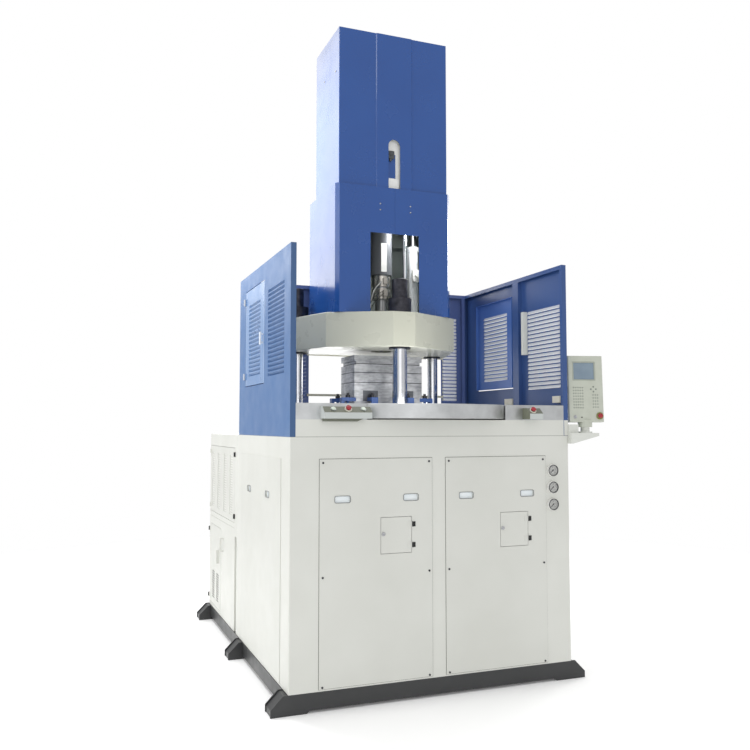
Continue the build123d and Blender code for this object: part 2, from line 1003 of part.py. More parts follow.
rear_skin = guard_depth - guard_skin
rear_inner = guard_depth - guard_thickness
with BuildPart() as guard_rear:
    wall = guard_inner - rear_wall_gap
    block((-wall, wall), (rear_inner, guard_depth), (rear_window_bottom, guard_top))
    block(
        (guard_skin - wall, wall - guard_skin),
        (rear_inner + guard_skin, rear_skin),
        (rear_window_bottom + guard_skin, guard_top - guard_skin),
        mode=Mode.SUBTRACT,
    )
    block(
        (guard_lip - wall, wall - guard_lip),
        (rear_inner, rear_inner + guard_skin),
        (rear_window_bottom + guard_skin, guard_top - guard_lip),
        mode=Mode.SUBTRACT,
    )
    block(
        (rear_window_left, rear_window_right),
        (rear_inner, guard_depth),
        (rear_window_bottom, rear_window_top),
        mode=Mode.SUBTRACT,
    )
    for height in rear_rail_heights:
        block(
            (rear_window_left - rear_rail_lap, rear_window_right + rear_rail_lap),
            (rear_skin - rear_rail_depth, rear_skin),
            (height - rear_rail_width / 2, height + rear_rail_width / 2),
        )
    left_middle = rear_window_left - 16 - rear_left_louvre_length / 2
    right_middle = rear_window_right + 10 + rear_right_louvre_length / 2
    press_louvres(
        rear_left_louvre_length, left_middle, rear_skin, 180, rear_louvre_low, rear_louvre_rows
    )
    press_louvres(
        rear_right_louvre_length, right_middle, rear_skin, 180, rear_louvre_low, rear_louvre_rows
    )
keep("guard_rear", guard_rear)

# Hinges of every door on the machine, each a short barrel on a leaf
with BuildPart() as door_hinges:
    for side in (-1, 1):
        x, z = access_centre(side)
        pin_x = x + access_width / 2 + access_hinge_radius
        for shift in access_hinge_shifts:
            low = z + shift - access_hinge_length / 2
            high = z + shift + access_hinge_length / 2
            pin = (pin_x, -panel_thickness - access_hinge_radius)
            upright(pin, access_hinge_radius, low, high)
            leaf_y = (-panel_thickness - access_leaf, -panel_thickness)
            block((pin_x, pin_x + access_hinge_radius + leaf_length / 2), leaf_y, (low, high))
        pin = (side * (half_bed + guard_hinge_radius), guard_pin_y)
        for z in guard_hinge_rows:
            z_range = (z - guard_hinge_length / 2, z + guard_hinge_length / 2)
            upright(pin, guard_hinge_radius, *z_range)
            leaf_x = sorted((side * half_bed, side * (half_bed + door_leaf)))
            block(leaf_x, (guard_pin_y, guard_pin_y + leaf_length), z_range)
    leaf_x = (-half_bed - door_leaf, -half_bed)
    rear_hinges = (
        (upper_pin_y, upper_hinge_rows, (upper_pin_y - leaf_length / 2, upper_pin_y)),
        (lower_pin_y, lower_hinge_rows, (lower_pin_y, rear_back - bed_corner)),
    )
    for pin_y, rows, leaf_y in rear_hinges:
        for z in rows:
            z_range = (z - rear_hinge_length / 2, z + rear_hinge_length / 2)
            upright((-half_bed - rear_hinge_radius, pin_y), rear_hinge_radius, *z_range)
            block(leaf_x, leaf_y, z_range)
keep("door_hinges", door_hinges)

# Plate round the table, flush with the table's top and open where the table juts out
with BuildPart() as table_surround:
    block((-half_deck, half_deck), (0, bed_depth), (bed_top, table_top))
    upright(
        (0, front_bar_y), table_radius + surround_clearance, bed_top, table_top, mode=Mode.SUBTRACT
    )
    for x, y, radius in bar_places[1:]:
        upright((x, y), radius + table_bore_clearance, bed_top, table_top, mode=Mode.SUBTRACT)
keep("table_surround", table_surround)

# Slewing ring that carries the table in a groove of the deck
with BuildPart() as slew_ring:
    with BuildSketch(Plane.XY.offset(bed_top - slew_depth)):
        with Locations((0, front_bar_y)):
            Circle(slew_outer)
            Circle(slew_inner, mode=Mode.SUBTRACT)
    extrude(amount=slew_depth + table_gap)
keep("slew_ring", slew_ring)

# Rotary table: a steel disc with a bolt field at each of its two stations
with BuildPart() as rotary_table:
    upright((0, front_bar_y), table_radius, table_bottom, table_top)
    chamfer(rotary_table.edges().filter_by(GeomType.CIRCLE), length=table_rim_chamfer)
    bore = front_bar_radius + table_bore_clearance
    upright((0, front_bar_y), bore, table_bottom, table_top, mode=Mode.SUBTRACT)
    with BuildSketch(Plane.XY.offset(table_top)):
        for station in (-station_radius, station_radius):
            with Locations((0, front_bar_y + station)):
                with GridLocations(2 * clamp_x, 2 * table_hole_y, 2, 2):
                    Circle(table_hole_radius)
    extrude(amount=-table_hole_depth, mode=Mode.SUBTRACT)
keep("rotary_table", rotary_table)


# Mould: two halves of bolted plates, closed on each other, with clamp notches
def mould_half(bottom, top, notch_bottom, sprue):
    """One half of the mould, with its sides cut back beside the clamp plate."""
    notch = (notch_bottom, notch_bottom + mould_notch_height)
    with BuildPart() as half:
        y_range = (clamp_y - mould_depth / 2, clamp_y + mould_depth / 2)
        block((-mould_width / 2, mould_width / 2), y_range, (bottom, top))
        chamfer(half.edges().filter_by(Axis.Z), length=mould_bevel)
        for side in (-1, 1):
            edge = side * mould_width / 2
            block(sorted((edge, edge - side * mould_notch)), y_range, notch, mode=Mode.SUBTRACT)
        if sprue:
            upright((0, axis_y), sprue_radius, top - sprue, top, mode=Mode.SUBTRACT)
    return half


lower_notch = table_top + mould_plate
upper_notch = mould_top - mould_plate - mould_notch_height
keep("mould_lower", mould_half(table_top, mould_parting, lower_notch, 0))
keep("mould_upper", mould_half(mould_parting, mould_top, upper_notch, sprue_depth))

# Clamps that hold the mould down, each a bridge on a heel, with a stud and nut
clamp_base = table_top + mould_plate
with BuildPart() as mould_clamps:
    length, width, thick = clamp_bridge
    bridge_top = clamp_base + thick
    for side in (-1, 1):
        near = side * (mould_width / 2 - clamp_lap)
        far = near + side * length
        for y in (clamp_y - table_hole_y, clamp_y + table_hole_y):
            y_range = (y - width / 2, y + width / 2)
            block(sorted((near, far)), y_range, (clamp_base, bridge_top))
            block(sorted((far - side * clamp_heel, far)), y_range, (table_top, clamp_base))
            stud = (side * clamp_x, y)
            upright(stud, clamp_stud, table_top - table_hole_depth, bridge_top + clamp_stud_proud)
            upright(stud, clamp_nut_radius, bridge_top, bridge_top + clamp_nut_height)
keep("mould_clamps", mould_clamps)


# Platens
def platen_outline():
    """Outline of a platen seen from above: a narrow front facet widening to the back."""
    with BuildLine() as half_outline:
        Polyline(
            (0, facet_front),
            (facet_half, facet_front),
            (shoulder_half, shoulder_y),
            (flank_half, flank_y),
            (flank_half, platen_back - rear_chamfer),
            (flank_half - rear_chamfer, platen_back),
            (0, platen_back),
            close=True,
        )
    make_face(half_outline.edges())
    mirror(about=Plane.YZ)


with BuildPart() as upper_platen:
    with BuildSketch(Plane.XY.offset(platen_bottom)):
        platen_outline()
    extrude(amount=platen_thickness)
    rims = upper_platen.faces().filter_by(Axis.Z).edges()
    chamfer(rims, length=platen_chamfer)
    for x, y, radius in bar_places:
        upright((x, y), radius, platen_bottom, platen_top, mode=Mode.SUBTRACT)
    upright((0, axis_y), nozzle_hole, platen_bottom, platen_top, mode=Mode.SUBTRACT)
    upright((0, axis_y), ring_radius, platen_bottom, platen_bottom + ring_depth, mode=Mode.SUBTRACT)
    with BuildSketch(Plane.XY.offset(platen_bottom)):
        with Locations((0, axis_y)):
            with GridLocations(2 * table_hole_x, 2 * table_hole_y, 2, 2):
                Circle(table_hole_radius)
    extrude(amount=table_hole_depth, mode=Mode.SUBTRACT)
keep("upper_platen", upper_platen)

with BuildPart() as lower_platen:
    with BuildSketch(Plane.XY.offset(lower_platen_bottom)):
        platen_outline()
    extrude(amount=lower_platen_thickness)
    for x, y, radius in bar_places:
        bore = radius + bar_slide_clearance
        upright((x, y), bore, lower_platen_bottom, deck_bottom, mode=Mode.SUBTRACT)
keep("lower_platen", lower_platen)

with BuildPart() as crosshead:
    with BuildSketch(Plane.XY.offset(crosshead_bottom)):
        platen_outline()
    extrude(amount=crosshead_thickness)
    for x, y, radius in bar_places:
        upright((x, y), radius, crosshead_bottom, crosshead_top, mode=Mode.SUBTRACT)
keep("crosshead", crosshead)

# Tie bars, with a nut below the crosshead, a collar under the platen and a cap nut on top
nut_bottom = crosshead_bottom - nut_height
cap_top = platen_top + nut_height + nut_cap_height
bar_top = cap_top - cap_space
with BuildPart() as tie_bars:
    for x, y, radius in bar_places:
        upright((x, y), radius, nut_bottom, bar_top)
keep("tie_bars", tie_bars)

with BuildPart() as tie_bar_nuts:
    for x, y, radius in bar_places:
        upright((x, y), nut_radius, nut_bottom, crosshead_bottom)
        collar = radius + collar_width
        upright((x, y), collar, platen_bottom - collar_height, platen_bottom)
        upright((x, y), nut_radius, platen_top, platen_top + nut_height)
        upright((x, y), radius + nut_cap_wall, platen_top, cap_top)
        upright((x, y), radius, nut_bottom, bar_top, mode=Mode.SUBTRACT)
    tops = tie_bar_nuts.edges().filter_by_position(Axis.Z, cap_top, cap_top)
    chamfer(tops.filter_by(GeomType.CIRCLE), length=cap_bevel)
keep("tie_bar_nuts", tie_bar_nuts)

# Clamp cylinder under the lower platen and its ram on the crosshead
with BuildPart() as clamp_cylinder:
    axis = (0, clamp_y)
    upright(axis, cylinder_radius, cylinder_bottom, lower_platen_bottom)
    flange_bottom = lower_platen_bottom - cylinder_flange
    upright(axis, cylinder_flange_radius, flange_bottom, lower_platen_bottom)
    upright(
        axis,
        cylinder_bore,
        cylinder_bottom + cylinder_wall,
        lower_platen_bottom - cylinder_flange,
        mode=Mode.SUBTRACT,
    )
    gland = ram_radius + seal_clearance
    upright(axis, gland, cylinder_bottom, cylinder_bottom + cylinder_wall, mode=Mode.SUBTRACT)
keep("clamp_cylinder", clamp_cylinder)

with BuildPart() as clamp_ram:
    upright(axis, ram_radius, crosshead_top, piston_bottom)
    piston = cylinder_bore - seal_clearance
    upright(axis, piston, piston_bottom, piston_bottom + piston_height)
keep("clamp_ram", clamp_ram)


# Tower covers: folded sheet shells, one telescoping inside the other
def shell_outline(half, front, back, corner):
    """Outline of a tower cover seen from above, with its front corners cut."""
    with BuildLine() as half_shell:
        Polyline(
            (0, front),
            (half - corner, front),
            (half, front + corner),
            (half, back),
            (0, back),
            close=True,
        )
    make_face(half_shell.edges())
    mirror(about=Plane.YZ)


with BuildPart() as tower_lower_cover:
    height = lower_cover_top - platen_top
    with BuildSketch(Plane.XY.offset(platen_top)):
        shell_outline(lower_cover_half, lower_cover_front, lower_cover_back, lower_cover_corner)
    extrude(amount=height)
    with BuildSketch(Plane.XY.offset(platen_top)):
        shell_outline(
            lower_cover_half - cover_sheet,
            lower_cover_front + cover_sheet,
            lower_cover_back - cover_sheet,
            lower_cover_corner,
        )
    extrude(amount=height - cover_sheet, mode=Mode.SUBTRACT)
    with BuildSketch(Plane.XY.offset(lower_cover_top)):
        shell_outline(
            upper_cover_half + cover_gap,
            upper_cover_front - strip_depth - cover_gap,
            upper_cover_back + cover_gap,
            cover_gap,
        )
    extrude(amount=-cover_sheet, mode=Mode.SUBTRACT)
    block(
        (-window_half, window_half),
        (lower_cover_front, lower_cover_front + cover_sheet),
        (platen_top, window_top),
        mode=Mode.SUBTRACT,
    )
    block(
        (-seam_depth / 2, seam_depth / 2),
        (lower_cover_front, lower_cover_front + cover_sheet / 2),
        (window_top, lower_cover_top),
        mode=Mode.SUBTRACT,
    )
keep("tower_lower_cover", tower_lower_cover)

with BuildPart() as tower_upper_cover:
    with BuildSketch(Plane.XY.offset(upper_cover_bottom)):
        shell_outline(upper_cover_half, upper_cover_front, upper_cover_back, upper_cover_corner)
    extrude(amount=upper_cover_top - upper_cover_bottom)
    with BuildSketch(Plane.XY.offset(upper_cover_bottom)):
        shell_outline(
            upper_cover_half - cover_sheet,
            upper_cover_front + cover_sheet,
            upper_cover_back - cover_sheet,
            upper_cover_corner,
        )
    extrude(amount=upper_cover_top - upper_cover_bottom - cover_sheet, mode=Mode.SUBTRACT)
    with BuildSketch(Plane.XY.offset(upper_cover_bottom)):
        with BuildLine():
            Polyline(
                (0, upper_cover_front),
                (strip_half + strip_depth, upper_cover_front),
                (strip_half, upper_cover_front - strip_depth),
                (0, upper_cover_front - strip_depth),
                close=True,
            )
        make_face()
        mirror(about=Plane.YZ)
    extrude(amount=upper_cover_top - upper_cover_bottom)
    with BuildSketch(Plane.XZ.offset(strip_depth - upper_cover_front)):
        with Locations((0, (slot_bottom + slot_top - slot_half) / 2)):
            Rectangle(2 * slot_half, slot_top - slot_half - slot_bottom)
        with Locations((0, slot_top - slot_half)):
            Circle(slot_half)
    extrude(amount=-(strip_depth + cover_sheet), mode=Mode.SUBTRACT)
keep("tower_upper_cover", tower_upper_cover)

# Injection unit: guide rods and lifting cylinders stand on the platen
axis = (0, axis_y)
guide_places = ((-guide_x, axis_y), (guide_x, axis_y))
shift_places = ((-shift_x, shift_y), (shift_x, shift_y))
with BuildPart() as guide_rods:
    for place in guide_places:
        upright(place, guide_radius, platen_top, guide_top)
        upright(place, guide_radius + guide_foot, platen_top, platen_top + guide_foot_height)
keep("guide_rods", guide_rods)

with BuildPart() as shift_cylinders:
    for place in shift_places:
        gland_bottom = shift_top - shift_gland
        upright(place, shift_radius, platen_top, shift_top)
        upright(place, shift_radius + shift_rim, gland_bottom, shift_top)
        upright(place, shift_bore, platen_top + shift_foot, gland_bottom, mode=Mode.SUBTRACT)
        seal = shift_rod_radius + seal_clearance
        upright(place, seal, gland_bottom, shift_top, mode=Mode.SUBTRACT)
keep("shift_cylinders", shift_cylinders)

with BuildPart() as injection_block:
    block((-block_half, block_half), (block_front, block_back), (block_bottom, block_top))
    chamfer(injection_block.edges().filter_by(Axis.Z), length=block_bevel)
    slide = guide_radius + bar_slide_clearance
    for place in guide_places:
        upright(place, slide, block_bottom, block_top, mode=Mode.SUBTRACT)
    upright(axis, barrel_radius, block_bottom, barrel_top, mode=Mode.SUBTRACT)
    upright(axis, screw_bore + screw_relief, barrel_top, block_top, mode=Mode.SUBTRACT)
    for place in shift_places:
        upright(place, shift_rod_radius, shift_rod_bottom, block_bottom)
    sheet_inner = upper_cover_half - cover_sheet - seat_gap
    hanger_y = (axis_y - hanger_half, axis_y + hanger_half)
    for side in (-1, 1):
        root = side * (block_half - 2 * block_bevel)
        block(
            sorted((root, root + side * hanger_plate)), hanger_y, (block_top, hanger_height)
        )
        block(
            sorted((root, side * sheet_inner)),
            hanger_y,
            (hanger_height, hanger_height + hanger_plate),
        )
        block(
            sorted((side * (sheet_inner - hanger_plate), side * sheet_inner)),
            hanger_y,
            (hanger_height, hanger_height + hanger_flange),
        )
keep("injection_block", injection_block)

with BuildPart() as barrel:
    upright(axis, barrel_radius, nozzle_top, barrel_top)
    upright(axis, screw_bore, nozzle_top + barrel_end, barrel_top, mode=Mode.SUBTRACT)
keep("barrel", barrel)

with BuildPart() as heater_bands:
    for bottom in band_rows:
        upright(axis, band_radius, bottom, bottom + band_height)
        upright(axis, barrel_radius, bottom, bottom + band_height, mode=Mode.SUBTRACT)
        terminal_front = axis_y - band_radius - band_terminal[1]
        terminal_low = bottom + (band_height - band_terminal[2]) / 2
        block(
            (-band_terminal[0] / 2, band_terminal[0] / 2),
            (terminal_front, axis_y - barrel_radius),
            (terminal_low, terminal_low + band_terminal[2]),
        )
        upright(axis, barrel_radius, bottom, bottom + band_height, mode=Mode.SUBTRACT)
keep("heater_bands", heater_bands)

with BuildPart() as barrel_shroud:
    upright(axis, shroud_radius, shroud_bottom, shroud_top)
    hollow = shroud_radius - shroud_wall
    upright(axis, hollow, shroud_bottom + 2 * shroud_wall, shroud_top, mode=Mode.SUBTRACT)
    upright(axis, barrel_radius, shroud_bottom, shroud_top, mode=Mode.SUBTRACT)
keep("barrel_shroud", barrel_shroud)

with BuildPart() as nozzle:
    with BuildSketch(Plane.XZ.offset(-axis_y)):
        with BuildLine():
            Polyline(
                (0, platen_bottom),
                (nozzle_tip, platen_bottom),
                (nozzle_radius, platen_bottom + nozzle_taper),
                (nozzle_radius, nozzle_top - nozzle_hex - nozzle_taper),
                (nozzle_shoulder, nozzle_top - nozzle_hex),
                (nozzle_shoulder, nozzle_top),
                (0, nozzle_top),
                close=True,
            )
        make_face()
    revolve(axis=Axis((0, axis_y, 0), (0, 0, 1)))
keep("nozzle", nozzle)

screw_bottom = nozzle_top + barrel_end + tongue_plate
with BuildPart() as screw:
    upright(axis, screw_bore - screw_clearance, screw_bottom + screw_tip, block_top + screw_drive)
    with BuildSketch(Plane.XY.offset(screw_bottom)):
        with Locations(axis):
            Circle(screw_tip_radius)
    with BuildSketch(Plane.XY.offset(screw_bottom + screw_tip)):
        with Locations(axis):
            Circle(screw_bore - screw_clearance)
    loft()
keep("screw", screw)

with BuildPart() as screw_motor:
    upright(axis, motor_radius, block_top, block_top + motor_height)
    upright(axis, screw_bore, block_top, block_top + motor_bore_depth, mode=Mode.SUBTRACT)
    top_rim = screw_motor.edges().filter_by(GeomType.CIRCLE).sort_by(Axis.Z)[-1]
    chamfer(top_rim, length=block_bevel)
    with BuildSketch(Plane.XY.offset(block_top)):
        with Locations(axis):
            with PolarLocations(motor_radius, motor_bolts):
                Circle(motor_bolt_radius)
    extrude(amount=motor_bolt_height)
keep("screw_motor", screw_motor)


# Operator consoles: wedge boxes on the front edge with their buttons on the slope
def console_box(span, holes):
    """A console between two places along the front edge, bored for its button stems."""
    front_top = console_low + console_front_height
    with BuildPart() as box:
        with BuildSketch(Plane.YZ.offset(span[0])):
            with BuildLine():
                Polyline(
                    (0, console_low),
                    (-console_depth, console_low),
                    (-console_depth, front_top),
                    (console_slope_run - console_depth, console_top),
                    (0, console_top),
                    close=True,
                )
            make_face()
        extrude(amount=span[1] - span[0])
        for x, radius in holes:
            with BuildSketch(slope_plane(x)):
                Circle(radius + stem_gap)
            extrude(amount=-console_bore_depth, mode=Mode.SUBTRACT)
    return box


slope_rise = console_top - console_low - console_front_height
slope_middle = (
    console_slope_run / 2 - console_depth,
    console_low + console_front_height + slope_rise / 2,
)


def slope_plane(x):
    """Plane on the console's slope, its normal pointing out of the slope."""
    return Plane(
        origin=(x, slope_middle[0], slope_middle[1]),
        x_dir=(1, 0, 0),
        z_dir=(0, -slope_rise, console_slope_run),
    )


def push_button(x):
    """A flat push button on a short stem."""
    with BuildPart() as button:
        with BuildSketch(slope_plane(x).offset(button_travel)):
            Circle(button_radius)
        extrude(amount=button_cap)
        with BuildSketch(slope_plane(x).offset(-stem_sink)):
            Circle(button_stem)
        extrude(amount=stem_sink + button_travel)
    return button


def mushroom(plane):
    """A domed emergency stop on its stem."""
    with BuildPart() as stop:
        neck = mushroom_travel + mushroom_neck
        with BuildSketch(plane.offset(-stem_sink)):
            Circle(mushroom_stem)
        extrude(amount=stem_sink + neck)
        with BuildSketch(plane.offset(neck)):
            Circle(mushroom_radius)
        extrude(amount=mushroom_height)
        rims = stop.edges().filter_by(GeomType.CIRCLE)
        crown = rims.sort_by(Axis(plane.origin, plane.z_dir))[-1]
        fillet(crown, radius=mushroom_round)
    return stop


stem_holes = [(x, button_stem) for x in button_xs] + [(left_stop_x, mushroom_stem)]
keep("console_left", console_box(left_console, stem_holes))
keep("console_right", console_box(right_console, [(right_stop_x, mushroom_stem)]))
for number, x in zip(("one", "two"), button_xs):
    keep(f"push_button_{number}", push_button(x))
keep("estop_left", mushroom(slope_plane(left_stop_x)))
keep("estop_right", mushroom(slope_plane(right_stop_x)))

# Operator panel: arm and post on the bed's right side, housing tilted back on the post
with BuildPart() as hmi_bracket:
    with BuildSketch(Plane.XZ.offset(arm_width / 2 - post_y)):
        with BuildLine():
            Polyline(
                (half_bed, arm_top),
                (half_bed + arm_reach, arm_top),
                (half_bed + arm_reach, arm_top - arm_tip_depth),
                (half_bed + arm_toe, arm_top - arm_root_depth),
                (half_bed, arm_top - arm_root_depth),
                close=True,
            )
        make_face()
    extrude(amount=-arm_width)
    upright((post_x, post_y), post_radius, arm_top, post_top)
    flange_top = arm_top + post_flange_height
    upright((post_x, post_y), post_radius + post_flange, arm_top, flange_top)
    block(duct_x, duct_y, (arm_top, duct_top))
keep("hmi_bracket", hmi_bracket)

box_width, box_height, box_depth = panel_box
panel_base = post_top + panel_post_gap + panel_collar
panel_plane = (
    Plane(origin=(post_x, post_y, panel_base))
    .rotated((-panel_tilt, 0, 0))
    .rotated((0, 0, -panel_yaw))
)
face_plane = Plane(
    origin=panel_plane.from_local_coords((0, -box_depth / 2, box_height / 2)),
    x_dir=panel_plane.x_dir,
    z_dir=-panel_plane.y_dir,
)
key_spot = (key_from_corner[0] - box_width / 2, key_from_corner[1] - box_height / 2)
stop_spot = (box_width / 2 - stop_from_corner[0], stop_from_corner[1] - box_height / 2)
stop_plane = Plane(
    origin=face_plane.from_local_coords((stop_spot[0], stop_spot[1], 0)),
    x_dir=face_plane.x_dir,
    z_dir=face_plane.z_dir,
)
key_plane = Plane(
    origin=face_plane.from_local_coords((key_spot[0], key_spot[1], 0)),
    x_dir=face_plane.x_dir,
    z_dir=face_plane.z_dir,
)
with BuildPart() as hmi_housing:
    with BuildSketch(panel_plane):
        RectangleRounded(box_width, box_depth, panel_corner)
    extrude(amount=box_height)
    with BuildSketch(face_plane):
        with Locations(screen_centre):
            Rectangle(*screen_size)
    extrude(amount=-screen_recess, mode=Mode.SUBTRACT)
    collar_low = post_top + panel_post_gap
    collar_high = panel_base + panel_collar_lap
    upright((post_x, post_y), post_radius + post_flange, collar_low, collar_high)
    with BuildSketch(stop_plane):
        Circle(mushroom_stem + stem_gap)
    extrude(amount=-console_bore_depth, mode=Mode.SUBTRACT)
    with BuildSketch(key_plane):
        Circle(key_radius + stem_gap)
    extrude(amount=-console_bore_depth, mode=Mode.SUBTRACT)
keep("hmi_housing", hmi_housing)
keep("hmi_estop", mushroom(stop_plane))
with BuildPart() as hmi_key:
    with BuildSketch(key_plane.offset(-stem_sink)):
        Circle(key_radius)
    extrude(amount=stem_sink + stem_gap)
    with BuildSketch(key_plane.offset(stem_gap)):
        Circle(key_head)
    extrude(amount=key_collar)
    with BuildSketch(key_plane.offset(stem_gap + key_collar)):
        Rectangle(key_bow[0], key_bow[1])
    extrude(amount=key_bow[2])
keep("hmi_key", hmi_key)

# Work light on the inner face of the right guard
with BuildPart() as work_light:
    back = half_bed - guard_skin
    y_range = (light_y - light_width / 2, light_y + light_width / 2)
    block((back - light_depth, back), y_range, (light_bottom, light_bottom + light_length))
keep("work_light", work_light)

# Oil tank inside the rear cabinet, with the pump's motor standing over the hole in its top
pump_place = (0, (rear_front + rear_back) / 2)
with BuildPart() as oil_tank:
    tank_floor = skid_top + rear_wall
    tank_ends = (tank_left - half_bed, half_bed - tank_clearance)
    tank_sides = (rear_recess_back + tank_clearance, rear_back - tank_clearance)
    block(tank_ends, tank_sides, (tank_floor, tank_top))
    block(
        (tank_ends[0] + tank_wall, tank_ends[1] - tank_wall),
        (tank_sides[0] + tank_wall, tank_sides[1] - tank_wall),
        (tank_floor + tank_wall, tank_top - tank_wall),
        mode=Mode.SUBTRACT,
    )
    upright(pump_place, pump_radius, tank_top - tank_wall, tank_top, mode=Mode.SUBTRACT)
keep("oil_tank", oil_tank)

with BuildPart() as pump_motor:
    upright(pump_place, pump_radius, tank_top, tank_top + pump_length)
    upright(pump_place, pump_radius + pump_flange, tank_top, tank_top + pump_flange_height)
keep("pump_motor", pump_motor)

# Move everything to the middle of the footprint and write one file for each piece
reach = Compound([piece.part for piece in pieces.values()]).bounding_box()
middle = reach.center()
to_origin = Location((-middle.X, -middle.Y, -reach.min.Z))

if __name__ == "__main__":
    os.makedirs("parts", exist_ok=True)
    for name, piece in pieces.items():
        placed = piece.part.moved(to_origin)
        placed.label = name
        export_step(placed, f"parts/{name}.step")
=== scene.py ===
# Looks of a vertical injection moulding machine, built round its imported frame. Metres, +Z up.
# Places are given in millimetres from the machine's centre line (x), the bed's front face (y)
# and the floor (z), and spot() turns them into the frame's metres.
import json
from math import cos, pi, radians, sin

import bmesh
import bpy
from mathutils import Matrix, Vector


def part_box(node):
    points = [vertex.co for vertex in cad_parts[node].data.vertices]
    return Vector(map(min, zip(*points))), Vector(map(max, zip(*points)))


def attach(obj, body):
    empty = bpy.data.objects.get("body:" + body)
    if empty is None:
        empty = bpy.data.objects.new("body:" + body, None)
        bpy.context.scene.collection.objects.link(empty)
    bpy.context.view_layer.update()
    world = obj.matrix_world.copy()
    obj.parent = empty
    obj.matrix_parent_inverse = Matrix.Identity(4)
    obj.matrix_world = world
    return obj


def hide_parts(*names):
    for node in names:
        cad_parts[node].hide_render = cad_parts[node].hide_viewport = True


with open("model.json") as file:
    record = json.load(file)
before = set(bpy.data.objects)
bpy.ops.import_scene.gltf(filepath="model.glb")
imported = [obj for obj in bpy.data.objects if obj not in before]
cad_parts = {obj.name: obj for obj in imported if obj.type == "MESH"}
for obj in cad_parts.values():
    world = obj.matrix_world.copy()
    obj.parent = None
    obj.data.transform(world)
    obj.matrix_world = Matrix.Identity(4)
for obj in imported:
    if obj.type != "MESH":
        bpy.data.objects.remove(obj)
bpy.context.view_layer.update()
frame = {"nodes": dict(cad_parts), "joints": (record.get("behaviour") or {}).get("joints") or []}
nodes = frame["nodes"]
joints = {joint["name"]: joint for joint in frame["joints"]}
bed_low, bed_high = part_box("bed_cabinet")
CENTRE_X = (bed_low.x + bed_high.x) / 2
FRONT_Y = bed_low.y
MM = 0.001
# The front clamps' distance from the centre line, where the mould has its pockets
FRONT_CLAMP_X = 111


def spot(x, y, z):
    """A place on the machine, given in millimetres, as a point of the frame."""
    return Vector((CENTRE_X + x * MM, FRONT_Y + y * MM, z * MM))


# Shader helpers
def linear(code):
    """An sRGB hex colour as linear RGBA."""
    channels = [int(code[start : start + 2], 16) / 255 for start in (0, 2, 4)]
    return [c / 12.92 if c <= 0.04045 else ((c + 0.055) / 1.055) ** 2.4 for c in channels] + [1.0]


def add_node(tree, kind, settings=None, inputs=None):
    """Add a node with its settings, and set or link its inputs."""
    made = tree.nodes.new(kind)
    for name, value in (settings or {}).items():
        setattr(made, name, value)
    for name, value in (inputs or {}).items():
        if isinstance(value, bpy.types.NodeSocket):
            tree.links.new(value, made.inputs[name])
        else:
            made.inputs[name].default_value = value
    return made


def maths(tree, operation, first, second):
    """The result of a sum on two values."""
    inputs = {0: first, 1: second}
    return add_node(tree, "ShaderNodeMath", {"operation": operation}, inputs).outputs[0]


def begin(name, **constants):
    """A new material with its shader's constants set, and where on the piece it is read."""
    material = bpy.data.materials.new(name)
    material.use_nodes = True
    tree = material.node_tree
    shader = tree.nodes["Principled BSDF"]
    for key, value in constants.items():
        shader.inputs[key.replace("_", " ")].default_value = value
    place = add_node(tree, "ShaderNodeTexCoord").outputs["Object"]
    return material, tree, shader, place


def noise(tree, place, size, detail=2.0, stretch=(1, 1, 1)):
    """Soft cloudy noise with cells about size metres across, longer where stretch is over 1."""
    scale = [1 / part for part in stretch]
    scaled = add_node(tree, "ShaderNodeMapping", inputs={"Vector": place, "Scale": scale})
    settings = {"Vector": scaled.outputs[0], "Scale": 1 / size, "Detail": detail}
    return add_node(tree, "ShaderNodeTexNoise", inputs=settings).outputs[0]


def spread(tree, value, low, high, start=0.3, end=0.7):
    """Stretch a 0 to 1 value between two results."""
    inputs = {"Value": value, "From Min": start, "From Max": end, "To Min": low, "To Max": high}
    return add_node(tree, "ShaderNodeMapRange", inputs=inputs).outputs[0]


def blend(tree, share, first, second):
    """Colour between two colours."""
    inputs = {0: share, 6: first, 7: second}
    return add_node(tree, "ShaderNodeMix", {"data_type": "RGBA"}, inputs).outputs[2]


def mottled(tree, place, size, detail, share, colours, extra=None, stretch=(1, 1, 1)):
    """Two colours mixed in soft clouds, with a piece's own fields painted over them."""
    cloud = noise(tree, place, size, detail, stretch)
    first, second = (linear(code) for code in colours)
    base = blend(tree, spread(tree, cloud, 0, share), first, second)
    return extra(tree, place, base) if extra else base


def skin(tree, shader, base, rough):
    """Link a shader's colour and its roughness."""
    tree.links.new(base, shader.inputs["Base Color"])
    tree.links.new(rough, shader.inputs["Roughness"])


def relief(tree, shader, height, depth, strength):
    """Bump a shader by a height pattern, depth in metres."""
    inputs = {"Height": height, "Distance": depth, "Strength": strength}
    bump = add_node(tree, "ShaderNodeBump", inputs=inputs)
    tree.links.new(bump.outputs[0], shader.inputs["Normal"])


# Finishes
def powder_coat(name, colour, shade, roughness=0.42, extra=None):
    """Powder-coated sheet steel: fine orange peel, soft cloudiness and a smeared sheen."""
    material, tree, shader, place = begin(name, IOR=1.5)
    base = mottled(tree, place, 0.35, 3.0, 0.6, (colour, shade), extra)
    smear = noise(tree, place, 0.09, 4.0)
    skin(tree, shader, base, spread(tree, smear, roughness - 0.05, roughness + 0.07))
    relief(tree, shader, noise(tree, place, 0.0035, 1.0), 0.00005, 0.5)
    return material


